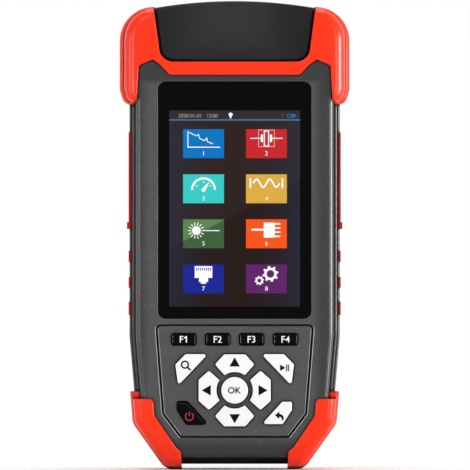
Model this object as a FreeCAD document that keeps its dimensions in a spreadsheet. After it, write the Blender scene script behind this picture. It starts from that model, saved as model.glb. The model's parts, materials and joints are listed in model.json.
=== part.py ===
import FreeCAD, Part
import math
import os

import Sketcher
from FreeCAD import Placement, Rotation, Vector

# Handheld optical time domain reflectometer, standing upright.
# Millimetres; +X is the right-hand side seen from the front, -Y the front, +Z up.
# The ground is at height 0 and every depth is measured from the middle of the case.

os.makedirs("parts", exist_ok=True)
doc = FreeCAD.newDocument("reflectometer")

SIZES = {
    # Case outline seen from the front
    "base_half_width": 25.25,
    "base_height": 2.0,
    "base_round": 6.0,
    "hip_half_width": 36.67,
    "hip_height": 17.6,
    "hip_round": 8.0,
    "body_half_width": 39.45,
    "waist_height": 50.0,
    "waist_round": 30.0,
    "flare_start": 137.0,
    "flare_end": 145.0,
    "flare_round": 10.0,
    "horn_half_width": 41.0,
    "horn_top": 171.3,
    "horn_round": 12.4,
    # Case depths and walls
    "front_face": -21.0,
    "seam": -6.0,
    "back_face": 21.0,
    "front_inset": 2.5,
    "lip_inset": 1.1,
    "lip_depth": 2.0,
    "front_edge_round": 1.7,
    "lip_round": 0.5,
    "back_edge_round": 5.0,
    "seam_edge_round": 0.8,
    "side_wall": 3.4,
    "front_side_wall": 1.6,
    "front_wall": 3.0,
    "back_wall": 2.2,
    "cavity_top": 147.6,
    "cavity_round": 3.0,
    # Gasket ring in the seam
    "gasket_inset": 0.6,
    "gasket_width": 1.0,
    "gasket_height": 0.8,
    # Cover glass and display
    "glass_half_width": 28.65,
    "glass_bottom": 56.6,
    "glass_top": 145.2,
    "glass_round": 2.9,
    "glass_recess": 0.1,
    "glass_thickness": 1.5,
    "glass_gap": 0.15,
    "glass_edge_round": 0.3,
    "tape_thickness": 0.2,
    "tape_inset": 0.4,
    "window_half_width": 25.9,
    "window_bottom": 59.6,
    "window_top": 136.0,
    "window_round": 1.0,
    "panel_gap": 0.4,
    "panel_rise": 1.1,
    "lcd_half_width": 27.5,
    "lcd_bottom": 58.0,
    "lcd_top": 141.0,
    "lcd_depth": 3.4,
    # Keypad field
    "field_top": 54.5,
    "field_top_half_width": 29.8,
    "field_hip": 20.85,
    "field_hip_half_width": 27.2,
    "field_bottom": 11.8,
    "field_bottom_half_width": 20.4,
    "field_round": 2.0,
    "field_groove_width": 0.9,
    "field_groove_depth": 0.85,
    # Keys
    "key_gap": 0.33,
    "key_flange": 0.62,
    "key_flange_thickness": 0.8,
    "key_rest_gap": 0.1,
    "key_travel": 0.8,
    "key_rise": 0.9,
    "f_key_rise": 0.6,
    "key_edge_round": 0.3,
    "stem_radius": 1.5,
    "stem_length": 1.2,
    "f_key_width": 9.05,
    "f_key_height": 4.2,
    "f_key_round": 0.9,
    "f_key_z": 48.8,
    "f_key_pitch": 12.69,
    "ok_key_radius": 5.0,
    "ok_key_z": 29.72,
    "arrow_top": 13.5,
    "arrow_top_half_width": 3.95,
    "arrow_tip": 9.66,
    "arrow_tip_half_width": 7.4,
    "arrow_foot": 5.0,
    "arrow_foot_half_width": 3.2,
    "arrow_hollow_radius": 6.8,
    "arrow_round": 0.8,
    "arrow_stem": 10.0,
    "upper_key_x": 17.5,
    "upper_key_z": 38.8,
    "upper_key_top": 4.5,
    "upper_key_outer": 0.86,
    "upper_key_inner": 7.55,
    "upper_key_foot": 7.3,
    "upper_key_foot_x": 3.7,
    "upper_key_side": 0.6,
    "upper_key_side_x": 4.7,
    "lower_key_x": 16.5,
    "lower_key_z": 20.8,
    "lower_key_top": 4.65,
    "lower_key_outer": 4.95,
    "lower_key_inner": 1.3,
    "lower_key_foot": 3.75,
    "lower_key_foot_inner": 6.35,
    "lower_key_foot_outer": 1.5,
    "lower_key_side": 1.55,
    "corner_key_round": 0.7,
    # Parts behind the keys
    "mat_thickness": 0.6,
    "mat_half_width": 24.9,
    "mat_top": 55.0,
    "mat_hip": 23.5,
    "mat_bottom": 15.6,
    "mat_bottom_half_width": 19.8,
    "mat_rim": 0.9,
    "mat_stop_gap": 0.1,
    "mat_hole_gap": 0.4,
    "dome_height": 0.45,
    "dome_radius": 2.2,
    "dome_gap": 0.15,
    "key_board_half_width": 27.4,
    "key_board_top": 56.5,
    "key_board_hip": 22.0,
    "key_board_bottom": 12.2,
    "key_board_bottom_half_width": 21.2,
    "key_board_thickness": 1.2,
    "key_post_radius": 1.2,
    "key_post_high_x": 26.2,
    "key_post_high_z": 52.5,
    "key_post_low_x": 18.5,
    "key_post_low_z": 13.8,
    # Main board
    "board_half_width": 31.5,
    "board_bottom": 24.0,
    "board_top": 142.0,
    "board_thickness": 1.6,
    "board_behind_lcd": 3.0,
    "board_notch_gap": 0.6,
    "post_radius": 2.0,
    "post_x": 29.8,
    "post_low_z": 46.0,
    "post_mid_z": 78.0,
    "post_high_z": 108.0,
    "chip_height": 1.4,
    "chip_size": 14.0,
    "memory_size": 9.0,
    "chip_z": 92.0,
    "memory_z": 68.0,
    "buzzer_radius": 6.0,
    "buzzer_height": 5.0,
    "buzzer_x": 14.0,
    "buzzer_z": 33.0,
    # Case screws
    "screw_high_x": 32.0,
    "screw_high_z": 126.0,
    "screw_low_x": 31.3,
    "screw_low_z": 34.0,
    "screw_radius": 1.5,
    "screw_length": 18.0,
    "screw_head_radius": 2.75,
    "screw_head_height": 2.6,
    "screw_drive_radius": 1.25,
    "screw_drive_depth": 1.5,
    "screw_seat": 4.0,
    "screw_hole_gap": 0.2,
    "counterbore_gap": 0.55,
    "column_radius": 4.5,
    "front_column_radius": 3.4,
    # Top bumper
    "bumper_front": -22.0,
    "bumper_back": 22.0,
    "bumper_wall": 2.1,
    "bumper_top": 173.4,
    "bumper_round": 12.8,
    "bumper_bottom": 136.9,
    "bumper_side_end": 142.2,
    "bumper_side_round": 6.0,
    "bumper_tip_taper": 1.6,
    "bumper_tip_round": 3.0,
    "bumper_front_inset": 1.8,
    "bumper_front_top": 172.7,
    "bumper_front_round": 11.8,
    "bumper_front_bottom": 137.6,
    "bumper_front_tip_taper": 1.3,
    "bumper_step_depth": -11.0,
    "bumper_edge_round": 2.0,
    "bumper_front_edge_round": 3.4,
    "bumper_lip_round": 0.45,
    "band_height": 147.8,
    "band_half_width": 24.35,
    "band_round": 1.5,
    "shoulder_x": 28.0,
    "shoulder_height": 151.7,
    "peak_x": 30.65,
    "peak_height": 153.6,
    "peak_round": 1.0,
    "leg_x": 35.9,
    "leg_height": 151.3,
    "leg_round": 1.2,
    "leg_tip_x": 36.9,
    # Lower bumpers
    "foot_half_width": 25.95,
    "foot_round": 6.0,
    "foot_hip_half_width": 38.25,
    "foot_hip_height": 17.2,
    "foot_hip_round": 6.0,
    "foot_side_half_width": 40.3,
    "foot_side_height": 42.0,
    "foot_step": 0.9,
    "foot_front_height_above_ground": 0.6,
    "foot_back_height": 29.1,
    "foot_front_height": 26.5,
    "foot_inner_x": 19.7,
    "foot_corner_x": 20.1,
    "foot_corner_height": 6.7,
    "foot_slope_x": 22.1,
    "foot_slope_height": 8.5,
    "foot_leg_x": 30.04,
    "foot_leg_height": 20.25,
    "foot_leg_top_x": 30.5,
    "foot_mask_round": 1.0,
    "foot_leg_round": 1.6,
    # Side grips
    "grip_web_front": -3.5,
    "grip_back": 11.0,
    "grip_bottom": 57.9,
    "grip_top": 126.4,
    "grip_depth": 1.2,
    "grip_rise": 0.35,
    "grip_hook_rise": 0.95,
    "grip_web_drop": 0.5,
    "grip_strip_bottom": 92.7,
    "grip_hook_bottom": 90.1,
    "grip_rib_high_top": 81.9,
    "grip_rib_high_bottom": 77.7,
    "grip_rib_mid_top": 72.0,
    "grip_rib_mid_bottom": 68.0,
    "grip_rib_low_top": 62.8,
    "grip_gap": 0.15,
    # Dust cover
    "cover_crown_peak": 177.6,
    "cover_crown_round": 178.0,
    "cover_corner_x": 29.96,
    "cover_corner_height": 172.9,
    "cover_corner_round": 1.0,
    "cover_side_x": 28.1,
    "cover_side_height": 159.4,
    "cover_bottom": 153.1,
    "cover_bottom_x": 27.4,
    "cover_bottom_round": 4.9,
    "cover_front": -22.0,
    "cover_back": 14.2,
    "cover_crown_radius": 260.0,
    "cover_front_round": 0.9,
    "cover_back_round": 0.9,
    "cover_wall": 2.0,
    "cover_front_wall": 2.0,
    "cover_mouth_half_width": 22.4,
    "cover_gap": 0.35,
    "seal_radius": 21.5,
    "seal_step": 0.6,
    "seal_gap": 0.3,
    "bumper_skin": 2.15,
    # Cover hinge
    "hinge_y": 17.5,
    "hinge_z": 157.2,
    "hinge_knuckle_radius": 2.6,
    "hinge_pin_radius": 1.0,
    "hinge_pin_gap": 0.06,
    "hinge_pin_half_length": 27.2,
    "hinge_middle_half_width": 9.7,
    "hinge_arm_start": 10.0,
    "hinge_arm_end": 24.0,
    "hinge_lug_start": 24.3,
    "hinge_lug_end": 27.2,
    "hinge_slot_gap": 0.3,
    # Port deck
    "panel_mouth_gap": 0.5,
    "panel_front": -18.2,
    "panel_back": 11.7,
    "panel_thickness": 2.9,
    "panel_slot_gap": 0.2,
    "panel_round": 2.0,
    "panel_edge_round": 0.5,
    "port_inset": 6.9,
    "port_back_inset": 8.7,
    "port_flange_radius": 5.5,
    "port_flange_height": 1.2,
    "port_barrel_radius": 4.0,
    "port_barrel_height": 9.0,
    "port_bore_radius": 3.0,
    "port_bore_depth": 7.6,
    "port_neck_radius": 4.4,
    "port_tail_radius": 3.2,
    "port_tail_end": 142.0,
    "port_hole_gap": 0.1,
    "sleeve_radius": 1.7,
    "ferrule_radius": 1.25,
    "sleeve_height": 6.6,
    "sleeve_depth": 6.0,
    "power_meter_barrel_radius": 4.9,
    "power_meter_bore_radius": 3.6,
    "laser_barrel_radius": 3.4,
    "laser_bore_radius": 2.5,
    "panel_screw_radius": 0.9,
    "panel_screw_head_radius": 1.5,
    "panel_screw_head_height": 0.7,
    "panel_screw_length": 4.5,
    "panel_screw_inset": 2.6,
    "jack_inset": 5.1,
    "jack_front_inset": 0.7,
    "jack_width": 15.6,
    "jack_depth": 11.0,
    "jack_bottom": 142.0,
    "jack_top": 156.4,
    "jack_mouth_width": 11.8,
    "jack_mouth_depth": 6.8,
    "jack_mouth_length": 12.0,
    "jack_latch_width": 6.2,
    "jack_latch_depth": 2.4,
    "usb_inset": 6.4,
    "usb_front_inset": 5.55,
    "usb_width": 9.0,
    "usb_depth": 3.3,
    "usb_bottom": 142.0,
    "usb_top": 154.2,
    "usb_shell": 0.35,
    "usb_corner_round": 1.4,
    "usb_mouth_length": 6.5,
    "usb_tongue_width": 6.7,
    "usb_tongue_depth": 0.7,
    "usb_tongue_length": 5.5,
    "deck_hole_gap": 0.1,
    # Battery and optics
    "cell_radius": 9.1,
    "cell_length": 65.0,
    "cell_pitch": 18.6,
    "cell_bottom": 43.0,
    "cell_y": 5.2,
    "cell_nub_radius": 3.0,
    "cell_nub_height": 1.0,
    "holder_half_width": 28.4,
    "holder_front": 4.0,
    "holder_end_wall": 2.0,
    "holder_gap": 0.1,
    "optics_half_width": 26.0,
    "optics_front": -4.0,
    "optics_bottom": 112.5,
    "optics_top": 142.0,
    "optics_round": 1.5,
    # Kickstand
    "stand_half_width": 23.4,
    "stand_bottom": 36.0,
    "stand_round": 5.0,
    "stand_gap": 0.6,
    "stand_front": 17.8,
    "stand_back": 20.5,
    "stand_pivot_y": 18.8,
    "stand_pivot_z": 116.0,
    "stand_knuckle_radius": 2.0,
    "stand_pin_radius": 1.0,
    "stand_pin_gap": 0.06,
    "stand_pin_grip": 2.4,
    "stand_floor_gap": 0.4,
    "stand_floor_wall": 2.0,
    "stand_window_half_width": 14.5,
    "stand_window_bottom": 52.0,
    "stand_window_top": 102.0,
    "stand_window_depth": 1.0,
    "notch_half_width": 9.0,
    "notch_drop": 5.0,
}

sheet = doc.addObject("Spreadsheet::Sheet", "Sizes")
for row, (name, number) in enumerate(SIZES.items(), start=1):
    sheet.set(f"A{row}", name)
    sheet.set(f"B{row}", str(number))
    sheet.setAlias(f"B{row}", name)
doc.recompute()


class Length:
    """A number together with the sheet formula it comes from."""

    def __init__(self, value, text):
        self.value = float(value)
        self.text = text

    def __add__(self, other):
        other = as_length(other)
        return Length(self.value + other.value, f"({self.text} + {other.text})")

    def __sub__(self, other):
        other = as_length(other)
        return Length(self.value - other.value, f"({self.text} - {other.text})")

    def __mul__(self, other):
        other = as_length(other)
        return Length(self.value * other.value, f"({self.text} * {other.text})")

    def __truediv__(self, other):
        other = as_length(other)
        return Length(self.value / other.value, f"({self.text} / {other.text})")

    def __neg__(self):
        return Length(-self.value, f"(-{self.text})")

    __radd__ = __add__
    __rmul__ = __mul__


def as_length(item):
    return item if isinstance(item, Length) else Length(item, repr(float(item)))


def bind(thing, target, length):
    """Sets one property of an object by its sheet formula."""
    thing.setExpression(target, as_length(length).text)


S = type("S", (), {key: Length(number, f"Sizes.{key}") for key, number in SIZES.items()})
OVER = 3.0      # how far cutting tools run past the material


# ---------------------------------------------------------------- sketches

def draw(sketch, corners):
    """A closed outline through corners (across, up, round), fully constrained."""
    corners = [tuple(as_length(part) for part in corner) for corner in corners]
    points = [Vector(across.value, up.value, 0) for across, up, _ in corners]
    count = len(corners)
    begins, ends, middles = [], [], []
    for i, (_, _, turn) in enumerate(corners):
        if turn.value == 0:
            begins.append(points[i])
            ends.append(points[i])
            middles.append(None)
            continue
        back = (points[i - 1] - points[i]).normalize()
        ahead = (points[(i + 1) % count] - points[i]).normalize()
        half = back.getAngle(ahead) / 2
        centre = points[i] + (back + ahead).normalize() * (turn.value / math.sin(half))
        begins.append(points[i] + back * (turn.value / math.tan(half)))
        ends.append(points[i] + ahead * (turn.value / math.tan(half)))
        middles.append(centre + (points[i] - centre).normalize() * turn.value)
    first = sketch.GeometryCount
    for i in range(count):
        sketch.addGeometry(Part.LineSegment(ends[i], begins[(i + 1) % count]), False)
    rules, formulas = [], []
    for i, (across, up, turn) in enumerate(corners):
        line, before = first + i, first + (i - 1) % count
        spot = line
        if middles[i] is None:
            rules.append(Sketcher.Constraint("Coincident", before, 2, line, 1))
        else:
            # sketch arcs always run anticlockwise, so a clockwise turn is drawn from its end
            turning = (middles[i] - begins[i]).cross(ends[i] - middles[i]).z
            begin, end = (1, 2) if turning > 0 else (2, 1)
            limits = (begins[i], ends[i]) if turning > 0 else (ends[i], begins[i])
            arc = sketch.addGeometry(Part.Arc(limits[0], middles[i], limits[1]), False)
            rules.append(Sketcher.Constraint("Tangent", before, 2, arc, begin))
            rules.append(Sketcher.Constraint("Tangent", arc, end, line, 1))
            rules.append(Sketcher.Constraint("Radius", arc, turn.value))
            formulas.append((len(rules) - 1, turn))
            spot = sketch.addGeometry(Part.Point(points[i]), True)
            rules.append(Sketcher.Constraint("PointOnObject", spot, 1, before))
            rules.append(Sketcher.Constraint("PointOnObject", spot, 1, line))
        rules.append(Sketcher.Constraint("DistanceX", -1, 1, spot, 1, across.value))
        formulas.append((len(rules) - 1, across))
        rules.append(Sketcher.Constraint("DistanceY", -1, 1, spot, 1, up.value))
        formulas.append((len(rules) - 1, up))
    start = sketch.ConstraintCount
    sketch.addConstraint(rules)
    for number, formula in formulas:
        bind(sketch, f"Constraints[{start + number}]", formula)


def draw_ring(sketch, across, up, radius):
    """A constrained circle."""
    across, up, radius = as_length(across), as_length(up), as_length(radius)
    middle = Vector(across.value, up.value, 0)
    ring = sketch.addGeometry(Part.Circle(middle, Vector(0, 0, 1), radius.value), False)
    start = sketch.ConstraintCount
    sketch.addConstraint([
        Sketcher.Constraint("DistanceX", -1, 1, ring, 3, across.value),
        Sketcher.Constraint("DistanceY", -1, 1, ring, 3, up.value),
        Sketcher.Constraint("Radius", ring, radius.value),
    ])
    for number, formula in enumerate((across, up, radius)):
        bind(sketch, f"Constraints[{start + number}]", formula)


def both_sides(half):
    """Closes a right-hand list of corners with its mirror image."""
    return half + [(-across, up, turn) for across, up, turn in reversed(half)]


def rectangle(left, right, low, high, turn=0):
    return [(left, low, turn), (right, low, turn), (right, high, turn), (left, high, turn)]


def front_sketch(name, corners):
    """An outline in the upright plane through the middle of the case."""
    sketch = doc.addObject("Sketcher::SketchObject", name)
    sketch.Placement = Placement(Vector(0, 0, 0), Rotation(Vector(1, 0, 0), 90))
    draw(sketch, corners)
    return sketch


# ---------------------------------------------------------------- solids

def grown(profile, amount):
    """The outline moved outwards by an amount, or inwards for a negative one."""
    if as_length(amount).value == 0:
        return profile
    offset = doc.addObject("Part::Offset2D", profile.Name + "_grown")
    offset.Source = profile
    bind(offset, "Value", amount)
    return offset


def prism(name, profile, front, back):
    """The outline run straight through from one depth to another."""
    block = doc.addObject("Part::Extrusion", name)
    block.Base = profile
    block.DirMode = "Custom"
    block.Dir = Vector(0, 1, 0)
    block.Solid = True
    bind(block, "LengthFwd", back)
    bind(block, "LengthRev", -as_length(front))
    return block


def place(thing, x=None, y=None, z=None):
    for axis, length in (("x", x), ("y", y), ("z", z)):
        if length is not None:
            bind(thing, f"Placement.Base.{axis}", length)
    return thing


def box(name, x, y, z):
    """A block between pairs of limits."""
    block = doc.addObject("Part::Box", name)
    for side, (low, high) in zip(("Length", "Width", "Height"), (x, y, z)):
        bind(block, side, as_length(high) - low)
    return place(block, x[0], y[0], z[0])


TURNS = {"x": Rotation(Vector(0, 1, 0), 90), "y": Rotation(Vector(1, 0, 0), -90), "z": Rotation()}


def rod(name, axis, radius, start, length):
    """A cylinder along an axis from its starting point."""
    bar = doc.addObject("Part::Cylinder", name)
    bar.Placement = Placement(Vector(0, 0, 0), TURNS[axis])
    bind(bar, "Radius", radius)
    bind(bar, "Height", length)
    return place(bar, *start)


def fuse(name, *items):
    whole = doc.addObject("Part::MultiFuse", name)
    whole.Shapes = list(items)
    whole.Refine = True
    return whole


def group(name, *items):
    bundle = doc.addObject("Part::Compound", name)
    bundle.Links = list(items)
    return bundle


def cut(name, base, tool):
    rest = doc.addObject("Part::Cut", name)
    rest.Base, rest.Tool = base, tool
    rest.Refine = True
    return rest


def common(name, one, other):
    shared = doc.addObject("Part::MultiCommon", name)
    shared.Shapes = [one, other]
    shared.Refine = True
    return shared


def rounded(name, base, radius, depths, reach=1e-3):
    """Rounds every edge that lies wholly within reach of one of the given depths."""
    doc.recompute()
    levels = [as_length(depth).value for depth in depths]
    picked = []
    for number, edge in enumerate(base.Shape.Edges, start=1):
        span = edge.BoundBox
        if any(max(abs(span.YMin - level), abs(span.YMax - level)) < reach for level in levels):
            picked.append((number, radius.value, radius.value))
    smooth = doc.addObject("Part::Fillet", name)
    smooth.Base = base
    smooth.Edges = picked
    return smooth


# ---------------------------------------------------------------- part bodies

def new_body(name):
    body = doc.addObject("PartDesign::Body", name)
    body.Label = name
    return body


def sketch_in(body, plane, level, outlines=(), rings=()):
    """A sketch on a plane of the body's own origin, moved to a level along its normal."""
    sketch = body.newObject("Sketcher::SketchObject", body.Name + "_sketch")
    base = [item for item in body.Origin.OriginFeatures if item.Role == plane][0]
    sketch.AttachmentSupport = [(base, "")]
    sketch.MapMode = "FlatFace"
    bind(sketch, "AttachmentOffset.Base.z", level)
    for corners in outlines:
        draw(sketch, corners)
    for ring in rings:
        draw_ring(sketch, *ring)
    return sketch


def pad(body, sketch, length, reverse=False):
    feature = body.newObject("PartDesign::Pad", body.Name + "_pad")
    feature.Profile = sketch
    feature.Reversed = reverse
    bind(feature, "Length", length)
    return feature


def pocket(body, sketch, length, reverse=False):
    feature = body.newObject("PartDesign::Pocket", body.Name + "_pocket")
    feature.Profile = sketch
    feature.Reversed = reverse
    bind(feature, "Length", length)
    return feature


def revolve(body, sketch):
    feature = body.newObject("PartDesign::Revolution", body.Name + "_turned")
    feature.Profile = sketch
    feature.ReferenceAxis = (sketch, ["V_Axis"])
    feature.Angle = 360.0
    return feature


def fillet(body, feature, radius, wanted):
    """Rounds the edges of a feature that pass a test."""
    doc.recompute()
    names = [f"Edge{number}" for number, edge in enumerate(feature.Shape.Edges, start=1)
             if wanted(edge)]
    smooth = body.newObject("PartDesign::Fillet", body.Name + "_fillet")
    smooth.Base = (feature, names)
    bind(smooth, "Radius", radius)
    return smooth


NODES = {}


def keep(name, thing):
    """Registers a finished sub-part under its node name."""
    thing.Label = name
    NODES[name] = thing
    return thing


# ---------------------------------------------------------------- shared outlines

case_outline = front_sketch("case_outline", both_sides([
    (S.base_half_width, S.base_height, S.base_round),
    (S.hip_half_width, S.hip_height, S.hip_round),
    (S.body_half_width, S.waist_height, S.waist_round),
    (S.body_half_width, S.flare_start, S.flare_round),
    (S.horn_half_width, S.flare_end, S.flare_round),
    (S.horn_half_width, S.horn_top, S.horn_round),
]))

cavity_outline = front_sketch("cavity_outline", both_sides([
    (S.base_half_width - S.side_wall * 0.5, S.base_height + S.side_wall, S.cavity_round),
    (S.hip_half_width - S.side_wall, S.hip_height + S.side_wall * 0.3, S.cavity_round),
    (S.body_half_width - S.side_wall, S.waist_height, S.waist_round),
    (S.body_half_width - S.side_wall, S.cavity_top, S.cavity_round),
]))


cover_half = [
    (S.cover_bottom_x, S.cover_bottom, S.cover_bottom_round),
    (S.cover_side_x, S.cover_side_height, 0),
    (S.cover_corner_x, S.cover_corner_height, S.cover_corner_round),
]
cover_outline = front_sketch("cover_outline", cover_half + [
    (as_length(0), S.cover_crown_peak, S.cover_crown_round),
] + [(-across, up, turn) for across, up, turn in reversed(cover_half)])

field_outline = front_sketch("field_outline", both_sides([
    (S.field_bottom_half_width, S.field_bottom, S.field_round),
    (S.field_hip_half_width, S.field_hip, S.field_round),
    (S.field_top_half_width, S.field_top, S.field_round),
]))

glass_outline = front_sketch("glass_outline", rectangle(
    -S.glass_half_width, S.glass_half_width, S.glass_bottom, S.glass_top, S.glass_round))

window_outline = front_sketch("window_outline", rectangle(
    -S.window_half_width, S.window_half_width, S.window_bottom, S.window_top, S.window_round))



# ---------------------------------------------------------------- keys

def arrow_shape(name, amount, front, back):
    """An arrow key: a flared block hollowed towards the middle key."""
    block = prism(name + "_block", grown(arrow_outline, amount), front, back)
    hollow = rod(name + "_hollow", "y", S.arrow_hollow_radius - amount,
                 (0, front - as_length(OVER), 0), as_length(back) - front + 2 * OVER)
    return cut(name + "_arrow", block, hollow)


def plain_shape(outline):
    """The maker of a key of plain outline."""
    return lambda name, amount, front, back: prism(name + "_block", grown(outline, amount), front, back)


def round_shape(name, amount, front, back):
    """The round middle key."""
    disc = rod(name + "_disc", "y", S.ok_key_radius + amount, (0, front, 0), as_length(back) - front)
    return group(name + "_round", disc)


arrow_outline = front_sketch("arrow_outline", both_sides([
    (S.arrow_foot_half_width, S.arrow_foot, S.arrow_round * 0.5),
    (S.arrow_tip_half_width, S.arrow_tip, S.arrow_round),
    (S.arrow_top_half_width, S.arrow_top, S.arrow_round),
]))

f_key_outline = front_sketch("f_key_outline", rectangle(
    -S.f_key_width / 2, S.f_key_width / 2, -S.f_key_height / 2, S.f_key_height / 2, S.f_key_round))


def upper_key_corners(side):
    """The zoom key (side -1, on the left) or the run key (side 1)."""
    corners = [(S.upper_key_foot_x, -S.upper_key_foot), (S.upper_key_side_x, S.upper_key_side),
               (S.upper_key_outer, S.upper_key_top), (-S.upper_key_inner, S.upper_key_top)]
    return [(across * side, up, S.corner_key_round) for across, up in corners]


def lower_key_corners(side):
    """The power key (side -1, on the left) or the back key (side 1)."""
    corners = [(-S.lower_key_foot_inner, -S.lower_key_foot), (S.lower_key_foot_outer, -S.lower_key_foot),
               (S.lower_key_outer, S.lower_key_side), (S.lower_key_outer, S.lower_key_top),
               (S.lower_key_inner, S.lower_key_top)]
    return [(across * side, up, S.corner_key_round) for across, up in corners]


upper_left = front_sketch("upper_left_outline", upper_key_corners(-1))
upper_right = front_sketch("upper_right_outline", upper_key_corners(1))
lower_left = front_sketch("lower_left_outline", lower_key_corners(-1))
lower_right = front_sketch("lower_right_outline", lower_key_corners(1))

wall_back = S.front_face + S.front_wall
flange_front = wall_back + S.key_rest_gap
flange_back = flange_front + S.key_flange_thickness
stem_end = flange_back + S.stem_length

f_key = plain_shape(f_key_outline)
ZERO = as_length(0)
# name: shape, place across, height, quarter turns, rise above the face, stem height
KEYS = {
    "key_f1": (f_key, S.f_key_pitch * -1.5, S.f_key_z, 0, S.f_key_rise, ZERO),
    "key_f2": (f_key, S.f_key_pitch * -0.5, S.f_key_z, 0, S.f_key_rise, ZERO),
    "key_f3": (f_key, S.f_key_pitch * 0.5, S.f_key_z, 0, S.f_key_rise, ZERO),
    "key_f4": (f_key, S.f_key_pitch * 1.5, S.f_key_z, 0, S.f_key_rise, ZERO),
    "key_zoom": (plain_shape(upper_left), -S.upper_key_x, S.upper_key_z, 0, S.key_rise, ZERO),
    "key_run_hold": (plain_shape(upper_right), S.upper_key_x, S.upper_key_z, 0, S.key_rise, ZERO),
    "key_up": (arrow_shape, ZERO, S.ok_key_z, 0, S.key_rise, S.arrow_stem),
    "key_right": (arrow_shape, ZERO, S.ok_key_z, 1, S.key_rise, S.arrow_stem),
    "key_down": (arrow_shape, ZERO, S.ok_key_z, 2, S.key_rise, S.arrow_stem),
    "key_left": (arrow_shape, ZERO, S.ok_key_z, 3, S.key_rise, S.arrow_stem),
    "key_ok": (round_shape, ZERO, S.ok_key_z, 0, S.key_rise, ZERO),
    "key_power": (plain_shape(lower_left), -S.lower_key_x, S.lower_key_z, 0, S.f_key_rise, ZERO),
    "key_back": (plain_shape(lower_right), S.lower_key_x, S.lower_key_z, 0, S.key_rise, ZERO),
}


def at_key(thing, across, height, quarters):
    """Puts a shape made about the origin at the place of its key."""
    thing.Placement = Placement(Vector(0, 0, 0), Rotation(Vector(0, 1, 0), 90 * quarters))
    return place(thing, x=across, z=height)


key_holes = []
for name, (shape, across, height, quarters, rise, stem) in KEYS.items():
    front = S.front_face - rise
    cap = rounded(name + "_cap", shape(name + "_top", ZERO, front, flange_front),
                  S.key_edge_round, [front])
    flange = shape(name + "_flange", S.key_flange, flange_front, flange_back)
    post = rod(name + "_stem", "y", S.stem_radius, (0, flange_back, stem), S.stem_length)
    keep(name, at_key(fuse(name + "_whole", cap, flange, post), across, height, quarters))
    hole = shape(name + "_hole", S.key_gap, S.front_face - OVER, wall_back + OVER)
    key_holes.append(at_key(hole, across, height, quarters))


# ---------------------------------------------------------------- case solids shared by both halves

front_outer = rounded(
    "front_outer", prism("front_block", grown(case_outline, -S.front_inset), S.front_face, S.seam),
    S.front_edge_round, [S.front_face])
lip_front = S.seam - S.lip_depth
lip = rounded("lip", prism("lip_block", grown(case_outline, -S.lip_inset), lip_front, S.seam),
              S.lip_round, [lip_front])
rear_front_edge = rounded("rear_front_edge", prism("rear_block", case_outline, S.seam, S.back_face),
                          S.seam_edge_round, [S.seam])
rear_outer = rounded("rear_outer", rear_front_edge, S.back_edge_round, [S.back_face])

bay_gap = S.cover_gap + S.bumper_skin
deck = S.cover_bottom - bay_gap
bumper_half_width = S.horn_half_width + S.bumper_wall
bumper_front_half_width = bumper_half_width - S.bumper_front_inset
panel_half_width = S.cover_mouth_half_width - S.panel_mouth_gap


def cover_room(label, gap):
    """The cover's outline grown by a gap, cut right through and open at the top for the cover to swing."""
    through = (S.bumper_front - OVER, S.bumper_back + OVER)
    across = S.cover_corner_x + gap
    return fuse(label, prism(label + "_hollow", grown(cover_outline, gap), *through),
                box(label + "_mouth", (-across, across), through,
                    (S.cover_corner_height - S.cover_corner_round, S.bumper_top + OVER)))


def panel_room(label, up):
    """The port panel's outline grown by its gap."""
    across = panel_half_width + S.panel_slot_gap
    return box(label, (-across, across),
               (S.panel_front - S.panel_slot_gap, S.panel_back + S.panel_slot_gap), up)


bay = fuse("bay", cover_room("bay_room", bay_gap), panel_room("bay_panel_room", (deck, S.cover_bottom)))


def about_hinge(label, radius):
    """A cylinder about the hinge, as wide as the cover."""
    return rod(label, "x", radius, (-bumper_half_width, S.hinge_y, S.hinge_z), bumper_half_width * 2)


# nearer the hinge than the seal radius both bay and cover are narrower, so no light passes between them
cover_bay = fuse("cover_bay",
                 cut("wide_bay_front", cover_room("wide_bay", S.cover_gap),
                     about_hinge("bay_seal", S.seal_radius - S.seal_gap)),
                 cover_room("narrow_bay", S.cover_gap - S.seal_step))

panel_top = deck + S.panel_thickness
port_x = panel_half_width - S.port_inset
port_y = S.panel_back - S.port_back_inset
jack_x = S.jack_inset + S.jack_width / 2 - panel_half_width
jack_y = S.panel_front + S.jack_front_inset + S.jack_depth / 2
usb_x = panel_half_width - S.usb_inset - S.usb_width / 2
usb_y = S.panel_front + S.usb_front_inset + S.usb_depth / 2
jack_hole = box("jack_hole",
                (jack_x - S.jack_width / 2 - S.deck_hole_gap, jack_x + S.jack_width / 2 + S.deck_hole_gap),
                (jack_y - S.jack_depth / 2 - S.deck_hole_gap, jack_y + S.jack_depth / 2 + S.deck_hole_gap),
                (S.cavity_top - OVER, deck + OVER))
usb_hole = box("usb_hole",
               (usb_x - S.usb_width / 2 - S.deck_hole_gap, usb_x + S.usb_width / 2 + S.deck_hole_gap),
               (usb_y - S.usb_depth / 2 - S.deck_hole_gap, usb_y + S.usb_depth / 2 + S.deck_hole_gap),
               (S.cavity_top - OVER, deck + OVER))
PORTS = {"otdr": -port_x, "power_meter": ZERO, "laser": port_x}
deck_holes = [jack_hole, usb_hole] + [
    rod(f"{port}_deck_hole", "z", S.port_neck_radius + S.port_hole_gap, (across, port_y, S.cavity_top - OVER),
        deck - S.cavity_top + 2 * OVER) for port, across in PORTS.items()]
PANEL_SCREWS = [(side * (panel_half_width - S.panel_screw_inset), depth) for side in (-1, 1)
                for depth in (S.panel_front + S.panel_screw_inset, S.panel_back - S.panel_screw_inset)]
deck_holes += [rod(f"panel_screw_hole_{i}", "z", S.panel_screw_radius,
                   (across, depth, panel_top - S.panel_screw_length), S.panel_screw_length + OVER)
               for i, (across, depth) in enumerate(PANEL_SCREWS)]
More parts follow.
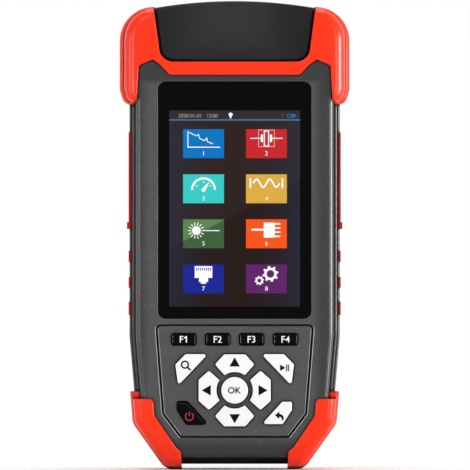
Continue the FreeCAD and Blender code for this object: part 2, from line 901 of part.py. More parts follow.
deck_tool = group("deck_tool", *deck_holes)

SCREWS = [(side * across, height) for side in (-1, 1)
          for across, height in ((S.screw_high_x, S.screw_high_z), (S.screw_low_x, S.screw_low_z))]


# ---------------------------------------------------------------- front housing

def front_housing():
    shell = cut("front_open", fuse("front_shell", front_outer, lip),
                prism("front_cavity", grown(cavity_outline, -S.front_side_wall), wall_back, S.seam + OVER))
    posts = [rod(f"front_column_{i}", "y", S.front_column_radius, (across, wall_back - 1, height),
                 S.seam - wall_back + 1) for i, (across, height) in enumerate(SCREWS)]
    for side in (-1, 1):
        for height in (S.post_low_z, S.post_mid_z, S.post_high_z):
            posts.append(rod("board_post", "y", S.post_radius, (side * S.post_x, wall_back - 1, height),
                             board_front - wall_back + 1))
        for across, height in ((S.key_post_high_x, S.key_post_high_z), (S.key_post_low_x, S.key_post_low_z)):
            posts.append(rod("key_post", "y", S.key_post_radius, (side * across, wall_back - 1, height),
                             key_board_front - wall_back + 1))
    solid = fuse("front_posts", shell, *posts)
    holes = [
        prism("glass_seat", grown(glass_outline, S.glass_gap), S.front_face - OVER, glass_floor),
        prism("window", window_outline, S.front_face - OVER, wall_back + OVER),
        cut("field_groove", prism("field_outside", field_outline, S.front_face - OVER, groove_floor),
            prism("field_inside", grown(field_outline, -S.field_groove_width),
                  S.front_face - OVER - 1, groove_floor + 1)),
        bay, deck_tool,
    ]
    holes += [rod(f"front_screw_hole_{i}", "y", S.screw_radius,
                  (across, screw_tip - 0.5, height), S.seam - screw_tip + OVER)
              for i, (across, height) in enumerate(SCREWS)]
    hollowed = cut("front_hollowed", solid, fuse("front_tools", *holes))
    return cut("front_with_keys", hollowed, group("key_tool", *key_holes))


# ---------------------------------------------------------------- rear housing

def rear_housing():
    hollow = prism("rear_cavity", cavity_outline, S.seam - OVER, S.back_face - S.back_wall)
    shell = cut("rear_open", rear_outer, hollow)
    island = box("stand_island",
                 (-S.stand_half_width - S.stand_pin_grip - 1, S.stand_half_width + S.stand_pin_grip + 1),
                 (island_front, S.back_face - S.back_wall + 1),
                 (S.stand_bottom - S.stand_gap - S.notch_drop - 2,
                  S.stand_pivot_z + S.stand_knuckle_radius + 4))
    columns = [rod(f"rear_column_{i}", "y", S.column_radius, (across, S.seam, height),
                   S.back_face - S.back_wall - S.seam + 1) for i, (across, height) in enumerate(SCREWS)]
    lugs = []
    for label, (left, right) in LUGS.items():
        lugs.append(rod(label + "_round", "x", S.hinge_knuckle_radius,
                        (left, S.hinge_y, S.hinge_z), right - left))
        lugs.append(box(label + "_base", (left, right),
                        (S.hinge_y - S.hinge_knuckle_radius, S.hinge_y + S.hinge_knuckle_radius),
                        (deck - 1, S.hinge_z)))
    seat = rod("hinge_seat", "x", S.hinge_pin_radius,
               (-S.hinge_pin_half_length, S.hinge_y, S.hinge_z), S.hinge_pin_half_length * 2)
    based = cut("rear_bayed", fuse("rear_filled", shell, island, *columns), bay)
    solid = fuse("rear_lugged", based, *lugs)
    tools = [seat, deck_tool]
    tools.append(cut("gasket_groove", prism("groove_outer", gasket_outside, S.seam - OVER, gasket_back),
                     prism("groove_inner", gasket_inside, S.seam - OVER - 1, gasket_back + 1)))
    for i, (across, height) in enumerate(SCREWS):
        tools.append(rod(f"rear_screw_hole_{i}", "y", S.screw_radius + S.screw_hole_gap,
                         (across, S.seam - OVER, height), S.screw_seat - S.seam + 2 * OVER))
        tools.append(rod(f"counterbore_{i}", "y", S.screw_head_radius + S.counterbore_gap,
                         (across, S.screw_seat, height), S.back_face - S.screw_seat + OVER))
    for side, label in ((-1, "left"), (1, "right")):
        tools += grip_blocks(f"grip_seat_{label}", side, S.grip_gap)
    tools += stand_recess()
    return cut("rear_finished", solid, fuse("rear_tools", *tools))


def stand_recess():
    """The hollow the kickstand folds into, with room for its knuckle, its pin and a finger."""
    floor = S.stand_front - S.stand_floor_gap
    low = S.stand_bottom - S.stand_gap
    width = S.stand_half_width + S.stand_gap
    tray = prism("stand_tray", front_sketch("stand_tray_outline", [
        (-width, low, S.stand_round), (width, low, S.stand_round),
        (width, S.stand_pivot_z, 0), (-width, S.stand_pivot_z, 0)]), floor, S.back_face + OVER)
    room = S.stand_knuckle_radius + S.stand_floor_gap
    head = box("stand_head", (-width, width), (S.stand_pivot_y, S.back_face + OVER),
               (S.stand_pivot_z - room, S.stand_pivot_z + room))
    cup = rod("stand_cup", "x", room, (-width, S.stand_pivot_y, S.stand_pivot_z), width * 2)
    bore = rod("stand_bore", "x", S.stand_pin_radius,
               (-S.stand_half_width - S.stand_pin_grip, S.stand_pivot_y, S.stand_pivot_z),
               (S.stand_half_width + S.stand_pin_grip) * 2)
    notch = prism("stand_notch", front_sketch("stand_notch_outline", rectangle(
        -S.notch_half_width, S.notch_half_width, low - S.notch_drop, low + S.stand_round, S.stand_round * 0.8)),
        floor, S.back_face + OVER)
    return [tray, head, cup, bore, notch]


# ---------------------------------------------------------------- bumpers

def bumper_body(name, rear_corners, front_corners):
    """Two stacked lobes: a full one at the back and a slimmer, rounder one at the front."""
    rear = rounded(name + "_rear_lobe",
                   prism(name + "_rear_block", front_sketch(name + "_rear_outline", both_sides(rear_corners)),
                         S.bumper_step_depth, S.bumper_back),
                   S.bumper_edge_round, [S.bumper_step_depth, S.bumper_back])
    front = rounded(name + "_front_lobe",
                    prism(name + "_front_block",
                          front_sketch(name + "_front_outline", both_sides(front_corners)),
                          S.bumper_front, S.bumper_step_depth + S.bumper_edge_round * 1.5),
                    S.bumper_front_edge_round, [S.bumper_front])
    return fuse(name + "_lobes", rear, front)


def case_core():
    """Everything the bumpers wrap around."""
    return cut("core", fuse("core_whole", front_outer, lip, rear_outer), bay)


def top_bumper():
    lobes = bumper_body("top", [
        (bumper_half_width - S.bumper_tip_taper, S.bumper_bottom, S.bumper_tip_round),
        (bumper_half_width, S.bumper_side_end, S.bumper_side_round),
        (bumper_half_width, S.bumper_top, S.bumper_round),
    ], [
        (bumper_front_half_width - S.bumper_front_tip_taper, S.bumper_front_bottom, S.bumper_tip_round),
        (bumper_front_half_width, S.bumper_side_end, S.bumper_side_round),
        (bumper_front_half_width, S.bumper_front_top, S.bumper_front_round),
    ])
    beyond = bumper_half_width + OVER
    mask = prism("top_mask_block", front_sketch("top_mask_outline", both_sides([
        (S.band_half_width, S.band_height, S.band_round),
        (S.shoulder_x, S.shoulder_height, S.band_round),
        (S.peak_x, S.peak_height, S.peak_round),
        (S.leg_x, S.leg_height, S.leg_round),
        (S.leg_tip_x, S.bumper_bottom - OVER, 0),
        (beyond, S.bumper_bottom - OVER, 0),
        (beyond, S.bumper_top + OVER, 0),
    ])), S.bumper_front, S.bumper_back + OVER)
    mask = rounded("top_mask", mask, S.bumper_lip_round, [S.bumper_front])
    wrap = cut("top_wrap", common("top_trimmed", lobes, mask), core)
    tools = [cover_bay,
             panel_room("panel_slot", (deck - OVER, S.cover_bottom + OVER))]
    gap = S.hinge_slot_gap
    for label, (left, right) in LUGS.items():
        tools.append(box(label + "_slot", (left - gap, right + gap),
                         (S.hinge_y - S.hinge_knuckle_radius - gap, S.hinge_y + S.hinge_knuckle_radius + gap),
                         (deck - OVER, S.hinge_z)))
    return cut("top_finished", wrap, fuse("top_tools", *tools))


def lower_bumper(name, side, lobes):
    """One foot corner; the back of it reaches higher up the side than the front."""
    beyond = S.foot_side_half_width + OVER
    masks = []
    for part, height, front, back in (
            ("front", S.foot_front_height, S.bumper_front, S.bumper_step_depth),
            ("rear", S.foot_back_height, S.bumper_step_depth, S.bumper_back + OVER)):
        corners = [(S.foot_inner_x, as_length(-OVER), 0), (beyond, as_length(-OVER), 0), (beyond, height, 0),
                   (S.foot_leg_top_x, height, S.foot_leg_round),
                   (S.foot_leg_x, S.foot_leg_height, S.foot_mask_round),
                   (S.foot_slope_x, S.foot_slope_height, S.foot_mask_round),
                   (S.foot_corner_x, S.foot_corner_height, S.foot_mask_round)]
        outline = front_sketch(f"{name}_{part}_mask_outline",
                               [(across * side, up, turn) for across, up, turn in corners])
        masks.append(prism(f"{name}_{part}_mask", outline, front, back))
    masks[0] = rounded(f"{name}_lip_mask", masks[0], S.bumper_lip_round, [S.bumper_front])
    return cut(name + "_finished", common(name + "_trimmed", lobes, fuse(name + "_mask", *masks)), core)


# ---------------------------------------------------------------- side grips

def grip_blocks(label, side, gap):
    """The blocks of one grip: a web, a smooth strip, a hook and three ribs; grown by a gap for its seat."""
    base = S.body_half_width - S.grip_depth
    face = S.body_half_width + S.grip_rise
    levels = [
        ("web", S.grip_web_front, S.body_half_width - S.grip_web_drop, S.grip_bottom, S.grip_top),
        ("strip", S.seam, face, S.grip_strip_bottom, S.grip_top),
        ("hook", S.seam, S.body_half_width + S.grip_hook_rise, S.grip_hook_bottom, S.grip_strip_bottom),
        ("rib_high", S.seam, face, S.grip_rib_high_bottom, S.grip_rib_high_top),
        ("rib_mid", S.seam, face, S.grip_rib_mid_bottom, S.grip_rib_mid_top),
        ("rib_low", S.seam, face, S.grip_bottom, S.grip_rib_low_top),
    ]
    blocks = []
    for part, front, outer, low, high in levels:
        if gap.value > 0:
            outer = S.body_half_width + OVER
        across = (base, outer) if side > 0 else (-outer, -base)
        blocks.append(box(f"{label}_{part}", across, (front - gap, S.grip_back + gap),
                          (low - gap, high + gap)))
    return blocks


def side_grip(name, side):
    return fuse(name + "_whole", *grip_blocks(name, side, ZERO))


# ---------------------------------------------------------------- dust cover

def dust_cover():
    block = prism("cover_block", cover_outline, S.cover_front, S.cover_back)
    barrel = rod("cover_barrel", "z", S.cover_crown_radius,
                 (0, S.cover_front + S.cover_crown_radius, S.cover_bottom - OVER),
                 S.cover_crown_peak - S.cover_bottom + 2 * OVER)
    crowned = common("cover_crowned", block, barrel)
    backed = rounded("cover_backed", crowned, S.cover_back_round, [S.cover_back])
    fronted = rounded("cover_fronted", backed, S.cover_front_round, [S.cover_front], 2.5)
    kept = prism("seal_kept", front_sketch("seal_outline", both_sides([
        (S.cover_bottom_x - S.seal_step, S.cover_bottom + S.seal_step, S.cover_bottom_round - S.seal_step),
        (S.cover_side_x - S.seal_step, S.cover_side_height, 0),
        (S.cover_corner_x - S.seal_step, S.cover_corner_height, 0),
        (S.cover_corner_x - S.seal_step, S.cover_crown_peak + OVER, 0),
    ])), S.cover_front - OVER, S.bumper_back + OVER)
    outer = cut("cover_outer", fronted, cut("seal_relief", about_hinge("cover_seal", S.seal_radius), kept))
    inner_back = S.cover_back - S.cover_wall
    inner_front = S.cover_front + S.cover_front_wall + S.cover_wall * 0.5
    hollow = fuse("cover_hollow",
                  prism("cover_inside", grown(cover_outline, -S.cover_wall), inner_front, inner_back),
                  box("cover_mouth", (-S.cover_mouth_half_width, S.cover_mouth_half_width),
                      (inner_front, inner_back),
                      (S.cover_bottom - OVER, S.cover_bottom + S.cover_bottom_round)))
    shell = cut("cover_shell", outer, hollow)
    arms = []
    for side in (-1, 1):
        left = S.hinge_arm_start if side > 0 else -S.hinge_arm_end
        width = S.hinge_arm_end - S.hinge_arm_start
        arms.append(rod("cover_knuckle", "x", S.hinge_knuckle_radius, (left, S.hinge_y, S.hinge_z), width))
        arms.append(box("cover_arm", (left, left + width), (inner_back + 0.2, S.hinge_y),
                        (S.hinge_z - S.hinge_knuckle_radius * 0.6, S.hinge_z + S.hinge_knuckle_radius)))
    bore = rod("cover_bore", "x", S.hinge_pin_radius + S.hinge_pin_gap,
               (-S.hinge_arm_end - 1, S.hinge_y, S.hinge_z), S.hinge_arm_end * 2 + 2)
    return cut("cover_finished", fuse("cover_armed", shell, *arms), bore)


# ---------------------------------------------------------------- kickstand

def kickstand():
    plate = prism("stand_plate", front_sketch("stand_outline", [
        (-S.stand_half_width, S.stand_bottom, S.stand_round),
        (S.stand_half_width, S.stand_bottom, S.stand_round),
        (S.stand_half_width, S.stand_pivot_z, 0),
        (-S.stand_half_width, S.stand_pivot_z, 0)]), S.stand_front, S.stand_back)
    knuckle = rod("stand_knuckle", "x", S.stand_knuckle_radius,
                  (-S.stand_half_width, S.stand_pivot_y, S.stand_pivot_z), S.stand_half_width * 2)
    window = prism("stand_window", front_sketch("stand_window_outline", rectangle(
        -S.stand_window_half_width, S.stand_window_half_width, S.stand_window_bottom, S.stand_window_top,
        S.stand_round)), S.stand_back - S.stand_window_depth, S.stand_back + OVER)
    bore = rod("stand_pin_hole", "x", S.stand_pin_radius + S.stand_pin_gap,
               (-S.stand_half_width - 1, S.stand_pivot_y, S.stand_pivot_z), S.stand_half_width * 2 + 2)
    return cut("stand_finished", fuse("stand_whole", plate, knuckle), fuse("stand_tools", window, bore))


# ---------------------------------------------------------------- glass and display

def in_plane(axis, level):
    """An edge test: the edge lies in the plane of one level along an axis."""
    return lambda edge: all(abs(getattr(vertex.Point, axis) - level.value) < 1e-4 for vertex in edge.Vertexes)


def cover_glass():
    body = new_body("cover_glass")
    sheet_outline = rectangle(-S.glass_half_width, S.glass_half_width,
                              S.glass_bottom, S.glass_top, S.glass_round)
    slab = pad(body, sketch_in(body, "XZ_Plane", -glass_back, [sheet_outline]), S.glass_thickness)
    fillet(body, slab, S.glass_edge_round, in_plane("y", glass_front))
    return body


def glass_tape():
    body = new_body("glass_tape")
    inset = S.tape_inset
    outside = rectangle(-S.glass_half_width + inset, S.glass_half_width - inset,
                        S.glass_bottom + inset, S.glass_top - inset, S.glass_round - inset)
    inside = rectangle(-S.window_half_width - inset, S.window_half_width + inset,
                       S.window_bottom - inset, S.window_top + inset, S.window_round + inset)
    pad(body, sketch_in(body, "XZ_Plane", -glass_floor, [outside, inside]), S.tape_thickness)
    return body


def lcd_module():
    body = new_body("lcd_module")
    frame = rectangle(-S.lcd_half_width, S.lcd_half_width, S.lcd_bottom, S.lcd_top)
    pad(body, sketch_in(body, "XZ_Plane", -lcd_back, [frame]), S.lcd_depth)
    gap = S.panel_gap
    screen = rectangle(-S.window_half_width + gap, S.window_half_width - gap,
                       S.window_bottom + gap, S.window_top - gap)
    pad(body, sketch_in(body, "XZ_Plane", -wall_back, [screen]), S.panel_rise)
    return body


# ---------------------------------------------------------------- behind the keys

def stem_spots():
    """Where each key presses, as across and height."""
    spots = []
    for _, across, height, quarters, _, stem in KEYS.values():
        step = ((ZERO, stem), (stem, ZERO), (ZERO, -stem), (-stem, ZERO))[quarters]
        spots.append((across + step[0], height + step[1]))
    return spots


def keypad_mat():
    body = new_body("keypad_mat")
    rim = S.mat_rim
    outside = both_sides([(S.mat_bottom_half_width, S.mat_bottom, 1), (S.mat_half_width, S.mat_hip, 1),
                          (S.mat_half_width, S.mat_top, 1)])
    inside = both_sides([(S.mat_bottom_half_width - rim * 0.5, S.mat_bottom + rim, 0),
                         (S.mat_half_width - rim, S.mat_hip + rim * 0.3, 0),
                         (S.mat_half_width - rim, S.mat_top - rim, 0)])
    pad(body, sketch_in(body, "XZ_Plane", -key_board_front, [outside]), key_board_front - mat_front)
    pocket(body, sketch_in(body, "XZ_Plane", -key_board_front, [inside]),
           key_board_front - mat_front - S.mat_thickness, reverse=True)
    radius = S.stem_radius + S.mat_hole_gap
    holes = [(across, height, radius) for across, height in stem_spots()]
    pocket(body, sketch_in(body, "XZ_Plane", -mat_front, rings=holes), S.mat_thickness + 0.2)
    return body


def dome_switches():
    return group("domes", *[
        rod(f"dome_{i}", "y", S.dome_radius, (across, key_board_front - S.dome_height, height), S.dome_height)
        for i, (across, height) in enumerate(stem_spots())])


def keypad_board():
    body = new_body("keypad_board")
    outline = both_sides([(S.key_board_bottom_half_width, S.key_board_bottom, 0),
                          (S.key_board_half_width, S.key_board_hip, 0),
                          (S.key_board_half_width, S.key_board_top, 0)])
    pad(body, sketch_in(body, "XZ_Plane", -key_board_back, [outline]), S.key_board_thickness)
    return body


# ---------------------------------------------------------------- electronics

def main_board():
    body = new_body("main_board")
    outline = rectangle(-S.board_half_width, S.board_half_width, S.board_bottom, S.board_top)
    pad(body, sketch_in(body, "XZ_Plane", -board_back, [outline]), S.board_thickness)
    radius = S.front_column_radius + S.board_notch_gap
    notches = [(across, height, radius) for across, height in SCREWS]
    pocket(body, sketch_in(body, "XZ_Plane", -board_front, rings=notches), S.board_thickness + 1)
    processor = rectangle(-S.chip_size / 2, S.chip_size / 2,
                          S.chip_z - S.chip_size / 2, S.chip_z + S.chip_size / 2)
    chips = [processor]
    for side in (-1, 1):
        left = side * S.chip_size - S.memory_size / 2
        chips.append(rectangle(left, left + S.memory_size, S.memory_z - S.memory_size / 2,
                               S.memory_z + S.memory_size / 2))
    pad(body, sketch_in(body, "XZ_Plane", -board_back, chips), S.chip_height, reverse=True)
    return body


def buzzer():
    body = new_body("buzzer")
    pad(body, sketch_in(body, "XZ_Plane", -board_back, rings=[(S.buzzer_x, S.buzzer_z, S.buzzer_radius)]),
        S.buzzer_height, reverse=True)
    pocket(body, sketch_in(body, "XZ_Plane", -board_back - S.buzzer_height,
                           rings=[(S.buzzer_x, S.buzzer_z, S.buzzer_radius * 0.25)]),
           S.buzzer_height * 0.3, reverse=True)
    return body


def cell_rods(label, gap):
    """The three cells, or the room for them when given a gap."""
    rods = []
    for i in (-1, 0, 1):
        across = i * S.cell_pitch
        rods.append(fuse(f"{label}_{i + 1}",
                         rod(f"{label}_can_{i + 1}", "z", S.cell_radius + gap, (across, S.cell_y, S.cell_bottom - gap),
                             S.cell_length + 2 * as_length(gap)),
                         rod(f"{label}_nub_{i + 1}", "z", S.cell_nub_radius + gap,
                             (across, S.cell_y, S.cell_bottom + S.cell_length),
                             S.cell_nub_height + gap)))
    return rods


def battery_holder():
    block = box("holder_block", (-S.holder_half_width, S.holder_half_width), (S.holder_front, island_front),
                (S.cell_bottom - S.holder_end_wall, S.cell_bottom + S.cell_length + S.holder_end_wall))
    return cut("holder_cradle", block, fuse("holder_room", *cell_rods("room", S.holder_gap)))


def optical_module():
    body = new_body("optical_module")
    outline = rectangle(-S.optics_half_width, S.optics_half_width, S.optics_front, island_front, S.optics_round)
    case = pad(body, sketch_in(body, "XY_Plane", S.optics_bottom, [outline]), S.optics_top - S.optics_bottom)
    fillet(body, case, S.optics_round * 0.5, in_plane("z", S.optics_top))
    return body


# ---------------------------------------------------------------- screws

def socket_screw(label, tip, seat, across, height):
    """A case screw from behind, with a six-sided socket in its head."""
    top = seat + S.screw_head_height
    solid = fuse(label + "_solid",
                 rod(label + "_shank", "y", S.screw_radius, (across, tip, height), seat - tip),
                 rod(label + "_head", "y", S.screw_head_radius, (across, seat, height), S.screw_head_height))
    drive = doc.addObject("Part::Prism", label + "_drive")
    drive.Polygon = 6
    drive.Placement = Placement(Vector(0, 0, 0), TURNS["y"])
    bind(drive, "Circumradius", S.screw_drive_radius)
    bind(drive, "Height", S.screw_drive_depth + 1)
    return cut(label, solid, place(drive, across, top - S.screw_drive_depth, height))


def housing_screws():
    return group("case_screws", *[socket_screw(f"case_screw_{i}", screw_tip, S.screw_seat, across, height)
                                  for i, (across, height) in enumerate(SCREWS)])


def panel_screws():
    screws = []
    for i, (across, depth) in enumerate(PANEL_SCREWS):
        head = rod(f"panel_head_{i}", "z", S.panel_screw_head_radius, (across, depth, panel_top),
                   S.panel_screw_head_height)
        shank = rod(f"panel_shank_{i}", "z", S.panel_screw_radius,
                    (across, depth, panel_top - S.panel_screw_length), S.panel_screw_length)
        screws.append(fuse(f"panel_screw_{i}", head, shank))
    return group("panel_screw_set", *screws)


# ---------------------------------------------------------------- ports under the dust cover

def port_panel():
    body = new_body("port_panel")
    plate = rectangle(-panel_half_width, panel_half_width, S.panel_front, S.panel_back, S.panel_round)
    slab = pad(body, sketch_in(body, "XY_Plane", deck, [plate]), S.panel_thickness)
    fillet(body, slab, S.panel_edge_round, in_plane("z", panel_top))
    gap = S.deck_hole_gap
    holes = [rectangle(jack_x - S.jack_width / 2 - gap, jack_x + S.jack_width / 2 + gap,
                       jack_y - S.jack_depth / 2 - gap, jack_y + S.jack_depth / 2 + gap),
             rectangle(usb_x - S.usb_width / 2 - gap, usb_x + S.usb_width / 2 + gap,
                       usb_y - S.usb_depth / 2 - gap, usb_y + S.usb_depth / 2 + gap)]
    rings = [(across, port_y, S.port_neck_radius + S.port_hole_gap) for across in PORTS.values()]
    rings += [(across, depth, S.panel_screw_radius) for across, depth in PANEL_SCREWS]
    pocket(body, sketch_in(body, "XY_Plane", panel_top, holes, rings), S.panel_thickness + 1)
    return body


def fibre_port(name, across, barrel, bore):
    """A turned adapter: tail, neck through the deck, flange, barrel and bore."""
    body = new_body(name)
    flange_top = panel_top + S.port_flange_height
    floor = port_top - S.port_bore_depth
    profile = [(ZERO, S.port_tail_end, 0), (S.port_tail_radius, S.port_tail_end, 0),
               (S.port_tail_radius, S.cavity_top, 0), (S.port_neck_radius, S.cavity_top, 0),
               (S.port_neck_radius, panel_top, 0), (S.port_flange_radius, panel_top, 0),
               (S.port_flange_radius, flange_top, 0), (barrel, flange_top, 0),
               (barrel, port_top, 0), (bore, port_top, 0), (bore, floor, 0), (ZERO, floor, 0)]
    revolve(body, sketch_in(body, "XZ_Plane", ZERO, [profile]))
    return place(body, x=across, y=port_y)


def ferrule_sleeves():
    sleeves = []
    base = port_top - S.port_bore_depth
    for port, across in PORTS.items():
        tube = rod(f"{port}_tube", "z", S.sleeve_radius, (across, port_y, base), S.sleeve_height)
        bore = rod(f"{port}_tube_bore", "z", S.ferrule_radius,
                   (across, port_y, base + S.sleeve_height - S.sleeve_depth), S.sleeve_depth + 1)
        sleeves.append(cut(f"{port}_sleeve", tube, bore))
    return group("sleeve_set", *sleeves)


def network_jack():
    body = new_body("network_jack")
    pad(body, sketch_in(body, "XY_Plane", S.jack_bottom, [rectangle(
        jack_x - S.jack_width / 2, jack_x + S.jack_width / 2,
        jack_y - S.jack_depth / 2, jack_y + S.jack_depth / 2)]), S.jack_top - S.jack_bottom)
    left, right = jack_x - S.jack_mouth_width / 2, jack_x + S.jack_mouth_width / 2
    low = jack_y - (S.jack_mouth_depth + S.jack_latch_depth) / 2
    step = low + S.jack_mouth_depth
    latch_left, latch_right = jack_x - S.jack_latch_width / 2, jack_x + S.jack_latch_width / 2
    mouth = [(left, low, 0), (right, low, 0), (right, step, 0), (latch_right, step, 0),
             (latch_right, step + S.jack_latch_depth, 0), (latch_left, step + S.jack_latch_depth, 0),
             (latch_left, step, 0), (left, step, 0)]
    pocket(body, sketch_in(body, "XY_Plane", S.jack_top, [mouth]), S.jack_mouth_length)
    return body


def usb_socket():
    body = new_body("usb_socket")
    wall = S.usb_shell

    def slot(width, depth, turn):
        return rectangle(usb_x - width / 2, usb_x + width / 2, usb_y - depth / 2, usb_y + depth / 2, turn)

    pad(body, sketch_in(body, "XY_Plane", S.usb_bottom, [slot(S.usb_width, S.usb_depth, S.usb_corner_round)]),
        S.usb_top - S.usb_bottom)
    pocket(body, sketch_in(body, "XY_Plane", S.usb_top, [
        slot(S.usb_width - 2 * wall, S.usb_depth - 2 * wall, S.usb_corner_round - wall)]), S.usb_mouth_length)
    pad(body, sketch_in(body, "XY_Plane", S.usb_top - S.usb_mouth_length, [
        slot(S.usb_tongue_width, S.usb_tongue_depth, 0)]), S.usb_tongue_length)
    return body


# ---------------------------------------------------------------- shared positions

port_top = panel_top + S.port_flange_height + S.port_barrel_height
groove_floor = S.front_face + S.field_groove_depth
glass_front = S.front_face + S.glass_recess
glass_back = glass_front + S.glass_thickness
glass_floor = glass_back + S.tape_thickness
lcd_back = wall_back + S.lcd_depth
board_front = lcd_back + S.board_behind_lcd
board_back = board_front + S.board_thickness
mat_front = flange_back + S.key_travel + S.mat_stop_gap
key_board_front = stem_end + S.key_travel + S.dome_gap + S.dome_height
key_board_back = key_board_front + S.key_board_thickness
screw_tip = S.screw_seat - S.screw_length
gasket_back = S.seam + S.gasket_height
gasket_inside = grown(cavity_outline, S.gasket_inset)
gasket_outside = grown(cavity_outline, S.gasket_inset + S.gasket_width)
island_front = S.stand_pivot_y - S.stand_knuckle_radius - S.stand_floor_gap - S.stand_floor_wall * 0.5
LUGS = {
    "lug_middle": (-S.hinge_middle_half_width, S.hinge_middle_half_width),
    "lug_left": (-S.hinge_lug_end, -S.hinge_lug_start),
    "lug_right": (S.hinge_lug_start, S.hinge_lug_end),
}

core = case_core()
keep("front_housing", front_housing())
keep("rear_housing", rear_housing())
keep("housing_gasket", cut("gasket_ring", prism("gasket_outer", gasket_outside, S.seam, gasket_back),
                           prism("gasket_inner", gasket_inside, S.seam - OVER, gasket_back + OVER)))
keep("top_bumper", top_bumper())
foot_lobes = bumper_body("foot", [
    (S.foot_half_width, ZERO, S.foot_round),
    (S.foot_hip_half_width, S.foot_hip_height, S.foot_hip_round),
    (S.foot_side_half_width, S.foot_side_height, 0),
], [
    (S.foot_half_width - S.foot_step * 0.5, S.foot_front_height_above_ground, S.foot_round),
    (S.foot_hip_half_width - S.foot_step, S.foot_hip_height + S.foot_step * 0.3, S.foot_hip_round),
    (S.foot_side_half_width - S.foot_step, S.foot_side_height, 0),
])
keep("bumper_lower_left", lower_bumper("foot_left", -1, foot_lobes))
keep("bumper_lower_right", lower_bumper("foot_right", 1, foot_lobes))
keep("side_grip_left", side_grip("grip_left", -1))
keep("side_grip_right", side_grip("grip_right", 1))
keep("dust_cover", dust_cover())
keep("dust_cover_pin", rod("cover_pin", "x", S.hinge_pin_radius,
                           (-S.hinge_pin_half_length, S.hinge_y, S.hinge_z), S.hinge_pin_half_length * 2))
keep("kickstand", kickstand())
keep("kickstand_pin", rod("stand_pin", "x", S.stand_pin_radius,
                          (-S.stand_half_width - S.stand_pin_grip, S.stand_pivot_y, S.stand_pivot_z),
                          (S.stand_half_width + S.stand_pin_grip) * 2))

keep("cover_glass", cover_glass())
keep("glass_tape", glass_tape())
keep("lcd_module", lcd_module())
keep("keypad_mat", keypad_mat())
keep("dome_switches", dome_switches())
keep("keypad_board", keypad_board())
keep("main_board", main_board())
keep("buzzer", buzzer())
keep("battery_cells", group("cell_set", *cell_rods("cell", ZERO)))
keep("battery_holder", battery_holder())
keep("optical_module", optical_module())
keep("housing_screws", housing_screws())
keep("panel_screws", panel_screws())
keep("port_panel", port_panel())
keep("otdr_port", fibre_port("otdr_port", PORTS["otdr"], S.port_barrel_radius, S.port_bore_radius))
keep("power_meter_port", fibre_port("power_meter_port", PORTS["power_meter"], S.power_meter_barrel_radius,
                                    S.power_meter_bore_radius))
keep("laser_port", fibre_port("laser_port", PORTS["laser"], S.laser_barrel_radius, S.laser_bore_radius))
keep("ferrule_sleeves", ferrule_sleeves())
keep("network_jack", network_jack())
keep("usb_socket", usb_socket())


# ---------------------------------------------------------------- check and export

doc.recompute()
for thing in doc.Objects:
    if "Invalid" in thing.State or "Error" in thing.State:
        raise RuntimeError(f"{thing.Label} failed: {thing.State}")
for name, thing in NODES.items():
    if thing.Shape.isNull() or not thing.Shape.isValid():
        raise RuntimeError(f"{name} has no valid shape")
    thing.Shape.exportStep(f"parts/{name}.step")
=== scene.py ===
"""Handheld fibre tester: finishes, key legends, screen picture, light and camera."""
import json
import math

import bpy
from mathutils import Matrix, Vector


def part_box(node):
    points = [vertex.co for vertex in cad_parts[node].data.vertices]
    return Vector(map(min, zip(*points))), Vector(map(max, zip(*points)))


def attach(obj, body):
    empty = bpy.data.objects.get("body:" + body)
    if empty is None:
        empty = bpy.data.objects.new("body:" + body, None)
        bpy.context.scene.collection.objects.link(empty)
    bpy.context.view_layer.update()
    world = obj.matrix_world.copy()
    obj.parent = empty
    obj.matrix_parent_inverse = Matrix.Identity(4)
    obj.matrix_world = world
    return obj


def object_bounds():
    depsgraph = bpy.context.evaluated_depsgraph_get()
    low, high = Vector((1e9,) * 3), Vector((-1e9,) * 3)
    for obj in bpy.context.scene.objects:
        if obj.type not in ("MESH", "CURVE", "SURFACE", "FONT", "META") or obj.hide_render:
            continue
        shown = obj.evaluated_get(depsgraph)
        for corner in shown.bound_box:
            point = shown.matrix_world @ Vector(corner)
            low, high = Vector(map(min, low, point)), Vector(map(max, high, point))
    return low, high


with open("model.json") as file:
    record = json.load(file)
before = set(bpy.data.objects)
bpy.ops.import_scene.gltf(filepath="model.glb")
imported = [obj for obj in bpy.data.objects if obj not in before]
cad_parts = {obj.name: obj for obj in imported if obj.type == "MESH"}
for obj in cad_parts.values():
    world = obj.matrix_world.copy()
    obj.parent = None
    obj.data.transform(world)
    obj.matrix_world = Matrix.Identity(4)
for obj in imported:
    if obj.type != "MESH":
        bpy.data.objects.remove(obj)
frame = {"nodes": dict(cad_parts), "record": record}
CAD_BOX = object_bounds()
MM = 0.001

# ---------------------------------------------------------------- colours, as a screen shows them


def shade(red, green, blue):
    """A colour given as 0 to 255 on a screen, turned into linear light."""
    def linear(level):
        level = level / 255
        return level / 12.92 if level <= 0.04045 else ((level + 0.055) / 1.055) ** 2.4
    return (linear(red), linear(green), linear(blue), 1.0)


def scaled(colour, amount):
    return tuple(level * amount for level in colour[:3]) + (1.0,)


CASE_GREY = shade(71, 71, 72)
COVER_GREY = shade(43, 43, 44)
STAND_GREY = shade(60, 60, 61)
BUMPER_RED = shade(240, 48, 14)
GRIP_RED = shade(185, 40, 38)
WHITE_KEY = shade(234, 234, 234)
BLACK_KEY = shade(6, 6, 6)
# Pale grey of the painted highlights on the groove's rims.
GROOVE_HIGHLIGHT_GREY = shade(172, 172, 174)
LEGEND_BLACK = shade(6, 6, 6)
LEGEND_WHITE = shade(246, 246, 246)
LEGEND_RED = shade(178, 62, 58)
GLASS_BLACK = shade(6, 6, 6)

# ---------------------------------------------------------------- material graphs

# How fast the edge and crease masks rise to 1.
EDGE_GAIN = 2.5
CREASE_GAIN = 3.0
# The unshaded middle of the painted shade lies this far to the left, so the right side is shaded more.
SHADE_MIDDLE_SHIFT = 1.5 * MM
